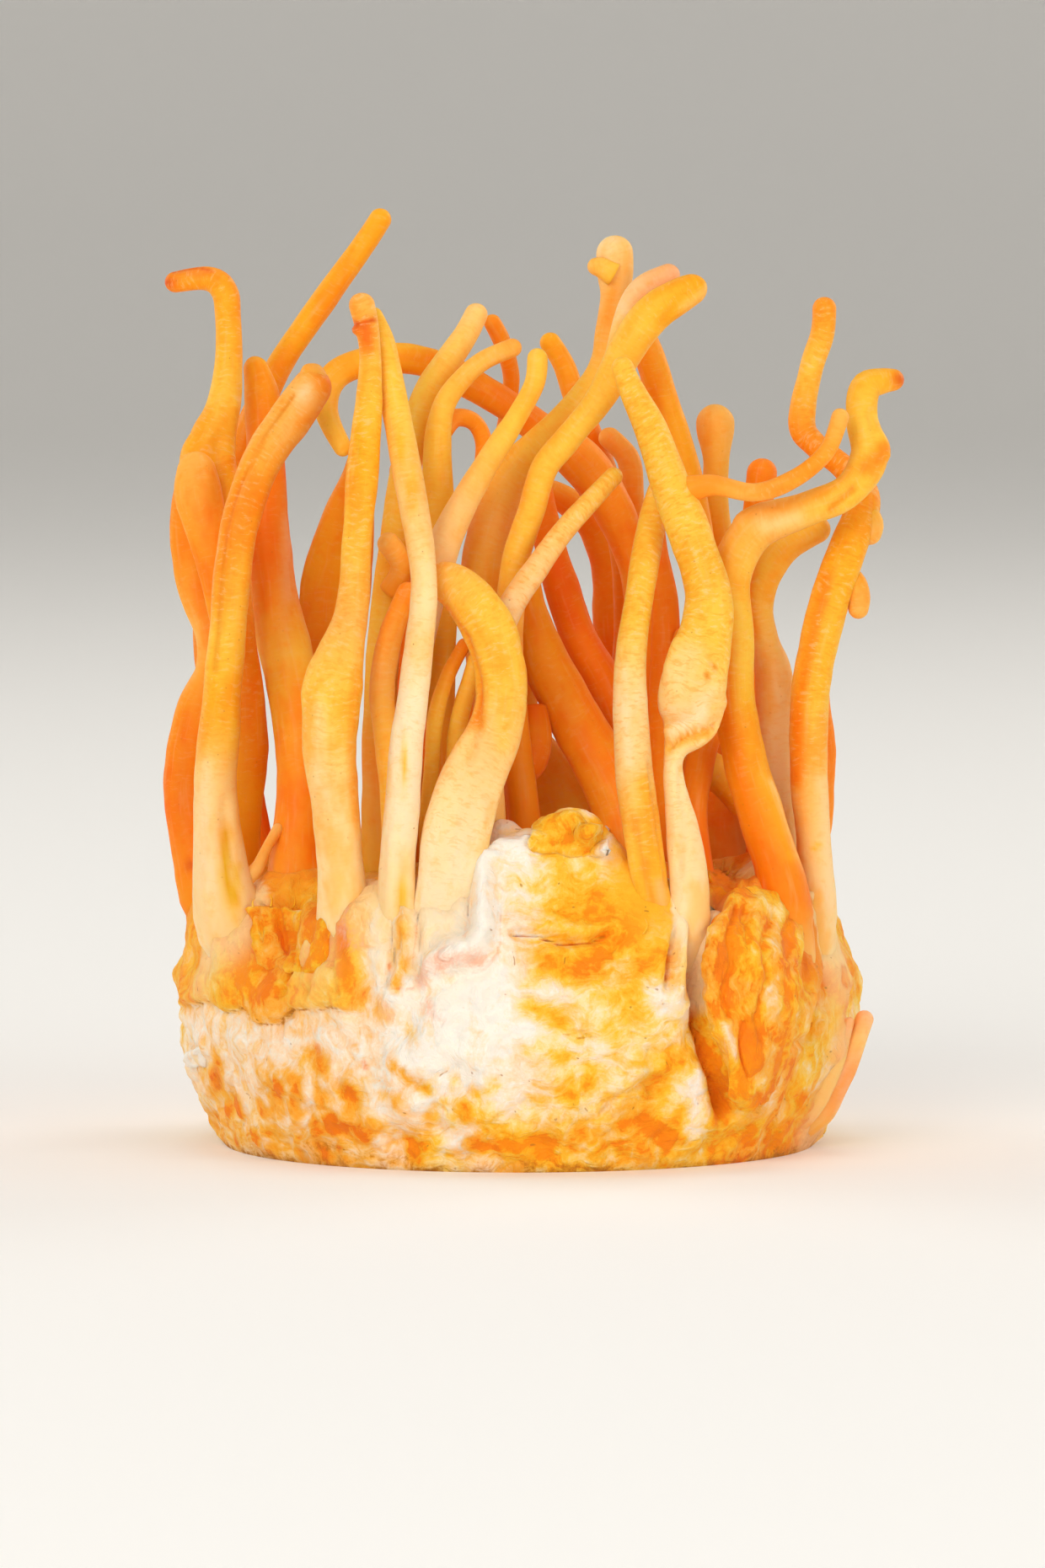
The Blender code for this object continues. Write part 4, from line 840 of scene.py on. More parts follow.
def cakeMaterial(name):
    soft = dict(softness)
    soft["Subsurface Radius"] = (1.0, 0.60, 0.38)
    soft["Subsurface Weight"] = 0.22
    material, tree, shader = newMaterial(name, 0.7, soft)
    place = stretched(tree, addNode(tree, "ShaderNodeTexCoord").outputs["Object"], (1000, 1000, 1000))
    swirl = addNode(tree, "ShaderNodeTexNoise", [("Vector", place), ("Scale", 0.22), ("Detail", 2.0)])
    centred = addNode(tree, "ShaderNodeVectorMath", [(0, swirl.outputs["Color"]), (1, (0.5, 0.5, 0.5))], operation="SUBTRACT")
    drift = addNode(tree, "ShaderNodeVectorMath", [(0, centred.outputs[0]), ("Scale", 7.0)], operation="SCALE")
    warped = addNode(tree, "ShaderNodeVectorMath", [(0, place), (1, drift.outputs[0])], operation="ADD").outputs[0]
    upright = speckle(tree, stretched(tree, warped, (0.75, 0.75, 0.26)), 0.8, 5.0, 0.62)
    level = speckle(tree, stretched(tree, warped, (0.26, 0.6, 0.95)), 0.8, 5.0, 0.62)
    cotton = speckle(tree, place, 0.5, 6.0, 0.62)
    fine = speckle(tree, place, 2.2, 5.0, 0.65)
    streakMix = addNode(tree, "ShaderNodeMix", [(0, readPoint(tree, "level")), (2, upright), (3, level)])
    streak = streakMix.outputs[0]
    stain = sums(tree, "ADD", readPoint(tree, "stain"), spreadOut(tree, streak, 1.5))
    stain = sums(tree, "ADD", stain, spreadOut(tree, cotton, 0.7))
    stain = sums(tree, "ADD", stain, spreadOut(tree, fine, 0.35))
    which = ranged(tree, speckle(tree, place, 0.17, 3.0), 0.44, 0.60)
    which = sums(tree, "ADD", which, readPoint(tree, "pink"))
    colour = blended(tree, which, ramp(tree, stain, myceliumLook["yellowStain"]), ramp(tree, stain, myceliumLook["peachStain"]))
    # flesh that creeps down from the stalks
    colour = blended(tree, readPoint(tree, "flesh"), colour, readPoint(tree, "tone", "Color"))
    ragged = sums(tree, "ADD", spreadOut(tree, streak, 1.2), spreadOut(tree, fine, 0.8))

    def torn(mask, low, high):  # a painted patch with a ragged edge
        return ranged(tree, sums(tree, "ADD", readPoint(tree, mask), ragged), low, high)

    colour = blended(tree, torn("blush", 0.20, 1.0), colour, (248, 190, 162))
    # the rust mask holds reddish lines and spots, and also painted shade down the right-hand groove
    redder = ranged(tree, sums(tree, "ADD", readPoint(tree, "rust"), spreadOut(tree, streak, 0.8)), 0.30, 1.0)
    colour = blended(tree, redder, colour, blended(tree, ranged(tree, cotton, 0.4, 0.6), "deep", "rust"))
    colour = blended(tree, torn("brown", 0.45, 1.0), colour, (196, 122, 30))
    # cool cotton where nothing is stained
    cool = times(tree, ranged(tree, speckle(tree, place, 0.55, 5.0), 0.50, 0.66), ranged(tree, stain, 0.34, 0.10))
    colour = blended(tree, times(tree, cool, 0.35), colour, (222, 222, 214))
    # dark specks
    cells = addNode(tree, "ShaderNodeTexVoronoi", [("Vector", warped), ("Scale", 0.62)], voronoi_dimensions="3D")
    dot = ranged(tree, cells.outputs["Distance"], 0.07, 0.16, 1.0, 0.0)
    chance = addNode(tree, "ShaderNodeSeparateColor", [("Color", cells.outputs["Color"])]).outputs[0]
    colour = blended(tree, times(tree, times(tree, dot, ranged(tree, chance, 0.74, 0.80)), 0.6), colour, (168, 104, 30))
    tree.links.new(colour, shader.inputs["Base Color"])
    tree.links.new(ranged(tree, fine, 0.3, 0.7, 0.56, 0.80), shader.inputs["Roughness"])
    normal = relief(tree, times(tree, stain, -1.0), 0.50, 0.9)
    normal = relief(tree, cotton, 0.40, 0.7, normal)
    normal = relief(tree, fine, 0.13, 0.8, normal)
    normal = relief(tree, speckle(tree, place, 7.0, 2.0), 0.03, 0.7, normal)
    tree.links.new(normal, shader.inputs["Normal"])
    return material


cake = {
    "across": -0.8,
    "profile": [  # from the middle of its underside to the middle of its top: radius, height
        (0.0, 0.0), (14.5, 0.0), (27.5, 0.0), (32.3, 1.2), (34.2, 5.5), (35.7, 10.0), (36.3, 14.5),
        (36.5, 18.2), (35.3, 21.8), (33.5, 25.5), (31.2, 28.0), (27.8, 29.0), (23.5, 29.2),
        (17.0, 28.4), (9.0, 27.6), (0.0, 27.2)],
    "lumps": [  # across, up, back, reach across, reach up, and how far the skin stands out
        (-1.0, 31.5, -27.0, 7.5, 6.0, 5.0), (6.0, 33.0, -26.0, 5.0, 7.0, 8.6),
        (-3.5, 27.0, -33.0, 5.0, 5.0, 1.6), (25.0, 19.0, -27.0, 7.2, 11.5, 3.4),
        (19.6, 20.0, -32.0, 2.2, 10.0, -2.2), (-26.5, 26.0, -24.5, 4.0, 3.4, -2.6),
        (-31.0, 23.0, -19.0, 4.6, 6.0, 1.4), (-20.5, 22.0, -29.5, 4.0, 6.0, 1.6),
        (-12.6, 24.0, -32.5, 4.4, 6.0, 1.3), (-16.8, 28.0, -31.0, 2.4, 5.0, 2.4),
        (15.8, 24.0, -31.0, 5.0, 7.0, 1.8),
        (10.0, 15.0, -34.5, 6.0, 6.0, 0.9), (-8.0, 14.0, -35.5, 9.0, 5.0, 0.8),
        (-26.0, 11.0, -26.5, 8.0, 5.0, 0.7), (27.0, 31.5, -8.0, 5.0, 5.0, 1.4),
        (-30.0, 30.0, -2.0, 6.0, 5.0, 2.0), (12.0, 31.0, 24.0, 9.0, 6.0, 2.6),
        (-16.0, 31.0, 22.0, 9.0, 6.0, 2.4), (0.0, 20.0, 37.0, 9.0, 8.0, 1.6),
        (24.0, 14.0, 27.0, 7.0, 6.0, 1.2), (-27.0, 16.0, 24.0, 7.0, 7.0, 1.4)],
    "segments": 440,
    "crowding": 0.36,     # how much closer the points stand at the front
    "step": 0.36}

# folds, creases and grooves drawn on the cake's front: width, how far they stand out, line
cakeRelief = [
    (1.25, 1.9, [(-0.3, 34.4), (-2.6, 34.0), (-4.4, 32.4), (-5.0, 30.4), (-4.7, 28.4), (-4.7, 25.8), (-5.8, 23.8),
                (-8.2, 22.5), (-10.4, 21.4)]),
    (0.6, -0.9, [(-2.4, 32.2), (-3.0, 29.8), (-2.7, 27.0), (-3.3, 24.0), (-5.0, 21.6), (-7.6, 20.8)]),
    (0.5, -0.9, [(-6.9, 31.4), (-6.5, 28.6), (-6.3, 26.2), (-7.6, 24.6), (-10.0, 23.8), (-11.6, 21.6)]),
    (0.35, -1.3, [(-1.6, 25.7), (1.3, 25.4), (3.7, 24.7), (6.8, 24.8), (8.6, 25.6)]),
    (0.7, 0.9, [(-0.8, 26.6), (2.8, 26.4), (6.4, 25.9), (8.8, 26.6)]),
    (0.6, 0.5, [(-0.5, 24.2), (3.8, 23.5), (7.6, 23.8)]),
    (0.4, -0.7, [(9.2, 24.0), (10.0, 25.0), (10.9, 25.7)]),
    (0.55, -1.8, [(16.4, 24.4), (15.9, 22.2), (15.5, 20.2)]),
    (0.6, 0.8, [(17.0, 24.0), (16.9, 21.6), (16.4, 19.6)]),
    (1.1, 1.0, [(13.2, 19.4), (15.2, 18.4), (16.6, 17.4)]),
    (0.3, -0.6, [(4.0, 14.9), (5.6, 15.2), (7.4, 14.4)]),
    (0.3, -0.6, [(-0.5, 19.0), (1.8, 18.4), (4.4, 18.8)]),
    (0.35, -0.5, [(9.6, 12.6), (12.0, 13.6), (14.6, 12.6), (16.2, 13.4)]),
    (0.35, -0.7, [(8.0, 6.2), (10.2, 8.6), (12.8, 9.4), (13.6, 8.0)]),
    (0.8, 0.9, [(9.4, 7.4), (11.8, 10.6), (14.6, 11.2)]),
    (1.7, 1.0, [(-7.4, 6.5), (-4.8, 6.0)]),
    (0.9, -2.6, [(20.4, 28.6), (19.0, 25.6), (18.3, 20.6), (18.9, 16.2), (20.0, 12.4), (21.1, 9.0), (21.5, 6.6)]),
    (0.5, 1.3, [(23.0, 30.0), (21.0, 28.8), (20.2, 26.0), (19.7, 23.0), (19.3, 19.8), (19.9, 16.2), (21.1, 12.8),
                (22.1, 10.0), (23.4, 7.8)]),
    (0.4, -0.7, [(22.2, 28.0), (21.6, 25.0), (21.3, 22.0), (21.6, 18.4), (22.8, 14.4), (23.8, 11.0)]),
    (0.4, 0.6, [(23.4, 27.0), (22.9, 23.0), (23.4, 18.6), (24.2, 14.6), (24.9, 10.6)]),
    (0.4, -0.6, [(25.0, 27.6), (24.8, 23.4), (25.2, 20.0), (25.4, 15.0)]),
    (0.6, 0.9, [(24.6, 29.6), (26.6, 28.8), (28.2, 29.2)]),
    (0.5, -1.0, [(29.0, 28.4), (28.6, 25.2), (27.6, 22.4), (27.8, 19.6)]),
    (0.5, 0.8, [(30.2, 28.6), (29.9, 25.6), (28.9, 22.8), (29.0, 20.0)]),
    (0.5, -1.1, [(31.2, 17.4), (30.6, 14.4), (28.0, 12.8), (26.4, 10.8), (25.4, 7.0)]),
    (0.6, 0.9, [(30.4, 18.6), (29.4, 15.4), (27.2, 14.0), (25.6, 12.0)]),
    (0.4, -0.8, [(31.9, 28.6), (32.0, 25.0), (32.6, 21.0), (32.2, 17.6)]),
    (0.4, 0.6, [(-13.3, 31.0), (-13.2, 26.0), (-13.4, 22.0), (-14.2, 20.2)]),
    (0.35, -0.9, [(-12.2, 28.0), (-12.0, 24.0), (-11.8, 20.4)]),
    (0.3, -0.8, [(-14.8, 24.8), (-14.6, 22.0), (-15.2, 19.8)]),
    (0.3, -0.5, [(-20.6, 25.6), (-20.9, 22.0), (-20.2, 18.6)]),
    (0.4, -0.8, [(-24.0, 24.4), (-25.2, 21.6), (-26.4, 19.2)]),
    (0.4, 0.7, [(-22.8, 25.6), (-23.9, 22.8), (-25.2, 20.0)]),
    (0.4, -0.7, [(-21.9, 25.0), (-22.9, 22.0), (-23.6, 19.0)]),
    (0.4, -0.8, [(-34.4, 28.0), (-34.0, 24.4), (-34.8, 21.0)]),
    (0.4, 0.6, [(-33.4, 27.6), (-32.8, 24.0), (-32.6, 20.8)]),
    (0.35, -0.7, [(-28.6, 27.4), (-27.8, 25.2), (-27.4, 23.2)]),
    (0.5, -1.2, [(-25.6, 28.2), (-25.0, 26.6)]),
    (0.5, 0.9, [(-27.8, 28.0), (-26.6, 28.6), (-25.6, 29.6)]),
    (0.35, -0.5, [(-27.0, 16.2), (-26.6, 14.4)])]

# the edge where the orange skin ends over the white cake
skinEdge = {
    "line": [(-38.5, 17.6), (-36.7, 17.9), (-34.1, 18.0), (-32.4, 17.1), (-30.6, 17.6), (-29.4, 15.8), (-27.2, 15.9),
             (-25.3, 17.6), (-23.0, 17.0), (-21.2, 17.6), (-19.4, 17.1), (-17.6, 18.4), (-17.2, 22.0), (-18.4, 26.0)],
    "overhang": 0.8, "crease": -0.4}

# where the flesh of the stalks leaves the front clear: width, line
clearOfFlesh = [
    (1.8, cakeRelief[0][2]), (0.9, [(-13.8, 31.4), (-13.6, 25.0), (-13.3, 21.4), (-14.3, 19.0)]),
    (1.4, [(-19.6, 26.0), (-19.0, 20.0)])]

# how stained the cake's front is, with painted shade down the right-hand groove: amount, width, line
cakeStain = [
    (-0.30, 5.0, [(-13.0, 14.0), (-7.0, 13.0), (-2.0, 16.0), (-5.0, 20.0)]),
    (-0.14, 2.2, [(-14.0, 18.6), (-9.0, 18.4), (-3.6, 20.0)]),
    (-0.45, 1.3, [(-0.5, 34.4), (-3.0, 34.2), (-4.8, 32.4), (-4.9, 29.6), (-4.4, 27.0), (-5.2, 24.4), (-8.4, 22.4)]),
    (-0.15, 3.0, [(-1.0, 32.6), (1.0, 30.0)]),
    (-0.30, 1.2, [(2.4, 19.4), (4.0, 19.2)]),
    (-0.35, 1.6, [(-16.6, 24.8), (-16.2, 20.6)]),
    (-0.35, 2.0, [(13.2, 19.4), (16.4, 17.6)]),
    (-0.20, 1.4, [(13.4, 29.6), (13.9, 25.4)]),
    (-0.30, 1.4, [(17.0, 30.0), (17.0, 24.4)]),
    (-0.30, 2.0, [(18.0, 9.0), (18.2, 4.0)]),
    (-0.30, 1.4, [(24.6, 28.4), (26.4, 27.6)]),
    (-0.30, 1.2, [(25.4, 19.4), (25.6, 17.4)]),
    (-0.35, 0.7, [(20.4, 15.8), (21.7, 12.6)]),
    (-0.30, 1.0, [(26.2, 12.4), (26.2, 8.6)]),
    (-0.25, 2.0, [(33.4, 13.0), (32.4, 7.0)]),
    (-0.3, 1.6, [(-35.8, 15.4), (-37.0, 11.6)]),
    (-0.14, 2.2, [(-31.5, 14.4), (-25.0, 13.6), (-20.6, 15.2)]),
    (0.42, 2.6, [(4.4, 28.6), (7.6, 28.0), (10.8, 27.0)]),
    (0.45, 1.7, [(2.0, 22.8), (5.0, 22.2), (7.6, 22.6)]),
    (0.45, 1.9, [(3.2, 36.0), (5.6, 36.8), (7.6, 36.6)]),
    (-0.45, 0.7, [(6.6, 38.8), (8.4, 38.9), (9.4, 37.4), (8.8, 35.2), (8.4, 33.6)]),
    (0.40, 1.0, [(-0.4, 17.5), (1.7, 17.2), (3.6, 16.4)]),
    (0.40, 1.7, [(14.6, 23.4), (12.6, 21.6), (11.2, 19.0)]),
    (0.30, 1.6, [(8.4, 24.6), (11.2, 25.0), (13.0, 26.4)]),
    (0.45, 1.9, [(12.2, 7.0), (14.0, 9.4), (16.4, 11.8)]),
    (0.30, 1.1, [(5.2, 9.4), (7.4, 10.6)]),
    (0.55, 1.5, [(-3.6, 3.0), (-0.8, 2.9), (2.0, 2.8)]),
    (0.50, 1.2, [(12.6, 5.2), (15.6, 4.0)]),
    (0.50, 0.7, [(-13.8, 31.4), (-13.5, 27.4)]),
    (0.55, 0.7, [(-13.6, 25.0), (-13.3, 21.4), (-14.3, 19.6)]),
    (0.35, 2.2, [(-29.0, 24.0), (-28.8, 20.0)]),
    (0.40, 1.5, [(-19.6, 23.4), (-19.2, 19.4)]),
    (0.45, 1.8, [(20.4, 32.6), (21.2, 30.0)]),
    # painted shade: more orange down the right-hand groove
    (0.55, 1.0, [(20.2, 28.6), (18.9, 25.6), (18.2, 20.6), (18.8, 16.2), (19.9, 12.4), (21.0, 9.0), (21.4, 6.6)]),
    (0.35, 2.0, [(30.6, 26.6), (30.0, 20.6)]),
    (0.35, 1.5, [(34.2, 22.6), (34.6, 19.0)]),
    (0.40, 0.9, [(28.3, 11.4), (28.0, 8.4)]),
    (0.60, 1.2, [(-19.6, 8.4), (-19.0, 7.4)]),
    (0.50, 0.9, [(-31.6, 7.6), (-32.0, 6.6)]),
    (0.55, 0.9, [(-33.4, 11.2), (-33.6, 8.6)]),
    (0.50, 0.9, [(-26.8, 9.6), (-27.4, 6.6)]),
    (0.50, 0.8, [(-25.2, 9.6), (-25.0, 8.6)]),
    (0.50, 0.6, [(-14.4, 11.6), (-13.0, 10.0)]),
    (0.45, 0.9, [(-12.2, 9.4), (-10.8, 8.8)]),
    (0.45, 0.8, [(-15.4, 8.2), (-14.2, 7.6)]),
    (0.45, 1.0, [(-15.9, 17.4), (-15.2, 16.8)]),
    (0.35, 0.9, [(-12.8, 15.4), (-12.2, 14.7)]),
    (0.50, 1.0, [(-22.8, 12.4), (-22.2, 11.2)]),
    (0.50, 1.2, [(-20.9, 5.4), (-19.0, 4.6), (-18.0, 4.0)]),
    (0.45, 1.2, [(-12.6, 3.4), (-11.0, 2.8)]),
    (0.36, 1.7, [(-7.2, 6.6), (-4.6, 5.8)])]

# lines and spots painted on the cake's front, among them painted shade down the right-hand groove: paint, strength,
# width, line
cakePaint = [
    ("blush", 0.7, 1.1, [(-5.0, 22.8), (-8.4, 21.9), (-10.6, 21.2), (-11.4, 20.0)]),
    ("blush", 0.5, 1.6, [(-19.6, 26.6), (-18.4, 24.0)]),
    ("blush", 0.5, 1.2, [(-10.6, 17.6), (-9.2, 16.4)]),
    ("blush", 0.5, 0.5, [(-6.7, 31.0), (-6.3, 27.6), (-6.8, 24.8)]),
    ("blush", 0.5, 1.0, [(-15.4, 17.8), (-14.8, 16.8)]),
    ("rust", 0.9, 0.22, [(-1.2, 25.6), (1.3, 25.3), (3.7, 24.6), (6.8, 24.7), (8.4, 25.4)]),
    ("rust", 0.55, 0.35, [(-2.8, 25.3), (-3.2, 23.6), (-4.6, 21.8), (-6.4, 21.2)]),
    ("rust", 0.5, 0.3, [(-2.6, 31.4), (-2.9, 28.4), (-2.8, 25.6)]),
    ("rust", 0.8, 0.5, [(16.0, 23.8), (15.6, 20.8)]),
    # painted shade: a rust line down the right-hand groove
    ("rust", 0.55, 0.5, [(20.4, 28.6), (19.1, 25.6), (18.3, 20.6), (19.0, 16.2), (20.1, 12.4), (21.2, 8.2)]),
    ("rust", 0.7, 0.8, [(22.6, 31.8), (23.0, 30.6)]),
    ("rust", 0.7, 0.7, [(30.0, 22.4), (30.3, 21.0)]),
    ("rust", 0.7, 0.6, [(27.4, 28.6), (27.0, 27.4)]),
    ("rust", 0.7, 0.5, [(22.9, 27.4), (22.6, 26.4)]),
    ("rust", 0.7, 0.6, [(34.3, 21.0), (34.7, 19.4)]),
    ("rust", 0.6, 0.4, [(35.4, 16.4), (35.0, 14.2)]),
    ("rust", 0.7, 0.7, [(-22.6, 13.4), (-22.3, 11.9)]),
    ("rust", 0.7, 0.5, [(-17.7, 11.8), (-17.5, 11.0)]),
    ("rust", 0.7, 0.7, [(-33.6, 10.9), (-33.4, 8.8)]),
    ("rust", 0.7, 0.5, [(-34.9, 26.0), (-34.4, 24.4), (-34.2, 22.6)]),
    ("rust", 0.6, 0.3, [(-15.0, 21.8), (-14.6, 19.6), (-13.2, 19.2), (-12.2, 19.4)]),
    ("rust", 0.5, 0.25, [(-12.1, 28.4), (-12.3, 24.0), (-12.4, 21.0)]),
    ("rust", 0.35, 0.5, [(-25.4, 28.2), (-24.8, 26.4)]),
    ("rust", 0.5, 0.4, [(-24.2, 23.4), (-25.2, 21.4), (-26.3, 19.4)]),
    ("rust", 0.5, 0.35, [(-22.2, 24.4), (-23.2, 21.8)]),
    ("rust", 0.6, 0.6, [(-33.4, 4.6), (-33.0, 3.6)]),
    ("rust", 0.5, 0.7, [(-19.6, 5.2), (-18.4, 4.4)]),
    ("rust", 0.5, 0.6, [(-12.6, 2.2), (-11.9, 1.6)]),
    ("rust", 0.4, 0.9, [(-2.6, 3.0), (0.4, 2.8)]),
    ("rust", 0.5, 0.4, [(6.0, 8.2), (7.4, 9.4)]),
    ("rust", 0.5, 0.3, [(-8.7, 8.6), (-9.0, 5.6), (-8.2, 4.3), (-5.6, 3.7), (-3.2, 4.6), (-3.1, 6.4)]),
    ("brown", 0.75, 0.22, [(3.9, 14.8), (5.2, 14.5), (7.4, 14.1)]),
    ("brown", 0.8, 0.35, [(14.4, 18.3), (14.6, 18.0)]),
    ("brown", 0.6, 0.2, [(3.0, 19.8), (4.2, 19.7)]),
    ("brown", 0.5, 0.25, [(9.4, 24.4), (10.4, 25.4), (11.3, 26.0)]),
    ("brown", 0.5, 0.25, [(31.6, 16.4), (30.2, 14.2), (28.4, 12.9), (27.2, 12.1)]),
    ("brown", 0.5, 0.2, [(-26.7, 16.2), (-26.5, 14.6)]),
    ("brown", 0.6, 0.9, [(-24.0, 2.8), (-18.0, 2.0), (-13.0, 1.4)])]


def resampled(line, step):  # evenly spaced points on a smooth line through the given ones
    rows = np.array(line, float)
    fine = curve(rows, np.linspace(0, len(rows) - 1, 60 * len(rows)))
    gone = np.concatenate([[0], np.cumsum(np.hypot(*np.diff(fine, axis=0).T))])
    at = np.linspace(0, gone[-1], max(2, round(gone[-1] / step)))
    return np.stack([np.interp(at, gone, fine[:, 0]), np.interp(at, gone, fine[:, 1])], -1)


def cakeShape():  # the grown body, before the stalks are on it
    side = resampled(cake["profile"][3:11], cake["step"])
    top = resampled(cake["profile"][10:], cake["step"] * 1.7)
    under = [(r, 0.0) for r in (6, 12, 18, 23, 27, 29.5, 31, 31.8)]
    rings = np.array([*under, *side.tolist(), *top[1:-1].tolist()])
    rings[:, 1] = np.maximum(rings[:, 1], 0)
    even = np.arange(cake["segments"]) * 2 * math.pi / cake["segments"]
    angle = even - cake["crowding"] * np.cos(even)
    flat = np.stack([np.cos(angle), np.sin(angle)], -1)
    places = np.concatenate([np.column_stack([flat * r, np.full(len(flat), z)]) for r, z in rings])
    places = np.vstack([places, [(0, 0, 0), (0, 0, cake["profile"][-1][1])]])
    faces = []
    n = cake["segments"]
    for ring in range(len(rings) - 1):
        for k in range(n):
            a, b = ring * n + k, ring * n + (k + 1) % n
            faces.append((a, b, b + n, a + n))
    last = (len(rings) - 1) * n
    for k in range(n):
        faces.append((len(places) - 2, (k + 1) % n, k))
        faces.append((last + k, last + (k + 1) % n, len(places) - 1))
    out = places - (0, 0, 13.0)
    out[:, 2] *= 0.9
    out /= np.linalg.norm(out, axis=1)[:, None]
    upward = places[:, 2] > 26
    out[upward] = out[upward] * 0.4 + (0, 0, 1)
    out /= np.linalg.norm(out, axis=1)[:, None]
    raised = smooth(0.0, 1.4, places[:, 2])
    places += (cake["across"] - drawing["middleAcross"], -drawing["middleBack"], 0)
    push = 0.9 * waves(places, 1 / 0.11) + 0.5 * waves(places, 1 / 0.27)
    for across, up, back, wide, high, stand in cake["lumps"]:
        off = places - placed(across, up, back)
        push += stand * np.exp(-(np.hypot(off[:, 0], off[:, 1]) / wide) ** 2 - (off[:, 2] / high) ** 2)
    return places + out * (push * raised)[:, None], faces, out, raised


def surfaceOf(places, faces):
    return BVHTree.FromPolygons(places.tolist(), faces)


def dressCake(places, out, raised, feet):
    across, up = drawn(places)
    front = smooth(0.05, -0.35, out[:, 1])          # 1 on the side that the front view shows
    masks = {name: np.zeros(len(places)) for name in ("stain", "level", "pink", "flesh", "blush", "rust", "brown")}
    push = np.zeros(len(places))
    # the skin climbs up each stalk and takes its colour there
    climb = np.zeros_like(places)
    tone = np.tile(linear("cream"), (len(places), 1))
    for foot, direction, radius, footTone in feet:
        off = places - foot
        beside = np.linalg.norm(off - (off @ direction)[:, None] * direction, axis=1)
        near = np.linalg.norm(off, axis=1) < radius + 9
        climb += (1.7 * near * np.exp(-(np.maximum(beside - radius, 0) / 1.9) ** 2))[:, None] * direction
        flesh = near * np.exp(-(np.maximum(beside - radius - 0.4, 0) / 2.0) ** 2)
        nearer = flesh > masks["flesh"]
        tone[nearer] = footTone
        masks["flesh"] = np.maximum(masks["flesh"], flesh)
    climb /= np.maximum(1, np.linalg.norm(climb, axis=1) / 2.0)[:, None]
    # fine lumps, and grains that show through low down
    knobs = waves(places, 3.1, 7.0)
    broad = waves(places, 8.0, 31.0)
    push += 0.50 * knobs + 0.30 * waves(places, 1.5, 3.0) + 0.13 * waves(places, 0.75, 5.0)
    low = smooth(16.5, 9.0, up + 2.5 * waves(places, 9.0, 11.0))
    stretchedPlaces = places * (1, 1, 0.66) + 0.5 * knobs[:, None]
    kernels = np.zeros(len(places))
    for i in np.nonzero(low * (places[:, 2] > 0.2) > 0.03)[0]:
        near, at = noise.voronoi((stretchedPlaces[i] / 2.3).tolist())
        edge = min(max((near[1] - near[0]) * 2.2, 0), 1)
        odd = (at[0].x * 7.31 + at[0].y * 3.77 + at[0].z * 5.13) % 1.0
        kernels[i] = edge * (1.0 if odd > 0.58 else 0.5 if odd > 0.3 else 0.1) - 0.25
        push[i] += low[i] * 0.34 * (edge - 0.4)
    # how stained it is: skin all round the top, cream cotton down the sides, deeper again at the bottom
    edgeUp = 17.2 + 2.4 * waves(places * (1, 1, 0), 7.0, 2.0)
    skin = smooth(-0.5, 0.8, up - edgeUp)
    middle = smooth(-18.0, -15.0, across) * smooth(21.5, 18.5, across) * front
    right = smooth(18.5, 20.5, across) * front
    side = 0.45 + 0.08 * broad
    stain = side * (1 - skin) + (0.72 + 0.10 * broad) * skin
    rightHalf = 0.28 + 0.21 * smooth(-6.0, 4.0, across) + 0.03 * smooth(3.0, 9.0, across) * smooth(12.0, 20.0, up)
    stain = stain * (1 - middle) + middle * (rightHalf + 0.05 * broad)
    stain = stain * (1 - right) + right * (0.70 + 0.08 * broad)
    line = fromLine(across, up, skinEdge["line"])
    above = smooth(-0.25, 0.35, up - np.interp(across, *zip(*skinEdge["line"][:11])))
    left = smooth(-17.2, -18.6, across) * front
    stain = stain * (1 - left) + left * (0.40 + 0.38 * above)
    stain += 0.44 * kernels * low
    stain += 0.22 * smooth(8.0, 2.0, places[:, 2])
    push += left * skinEdge["overhang"] * above * np.exp(-(line / 3.0) ** 2)
    push += left * skinEdge["crease"] * np.exp(-(line / 0.4) ** 2)
    masks["brown"] += left * 0.9 * np.exp(-(line / 0.20) ** 2) * smooth(-38, -36, across) * smooth(-19.0, -20.5, across)
    for amount, width, points in cakeStain:
        stain += amount * front * np.exp(-(fromLine(across, up, points) / width) ** 2)
    for width, stand, points in cakeRelief:
        push += stand * front * np.exp(-(fromLine(across, up, points) / width) ** 2)
    for paint, strength, width, points in cakePaint:
        painted = strength * front * np.exp(-(fromLine(across, up, points) / width) ** 2)
        masks[paint] = np.maximum(masks[paint], painted)
    masks["stain"] = stain
    masks["level"] = np.maximum(smooth(8.0, 4.0, up), 0.75 * smooth(-9, 0, across) * smooth(18, 15, across) * front)
    masks["pink"] = 0.7 * smooth(-9.0, -16.0, across) * front - 0.5 * smooth(-3.0, 4.0, across) * front * (1 - right)
    masks["pink"] -= 0.6 * left * above
    # the bottom edge is browner, in patches
    bottomEdgeBrown = 0.8 * smooth(2.6, 0.5, places[:, 2] + 0.9 * knobs)
    masks["brown"] = np.maximum(masks["brown"], bottomEdgeBrown * smooth(-0.25, 0.25, knobs + 0.15))
    masks["flesh"] *= 0.92 * (1 - 0.25 * left)
    for width, points in clearOfFlesh:
        masks["flesh"] *= 1 - 0.95 * front * np.exp(-(fromLine(across, up, points) / width) ** 2)
    shaped = places + (out * push[:, None] + climb) * raised[:, None]
    shaped[:, 2] = np.maximum(shaped[:, 2], 0)
    return shaped, masks, tone


# the stalks

stalkShape = {
    "step": 0.42,         # between rings
    "sides": 30, "thinSides": 22, "thinWidth": 2.8,
    "lumps": 0.085,       # unevenness, as shares of the radius
    "ripples": 0.03,
    "flutes": 0.055,
    "flare": 0.22, "flareReach": 2.4}


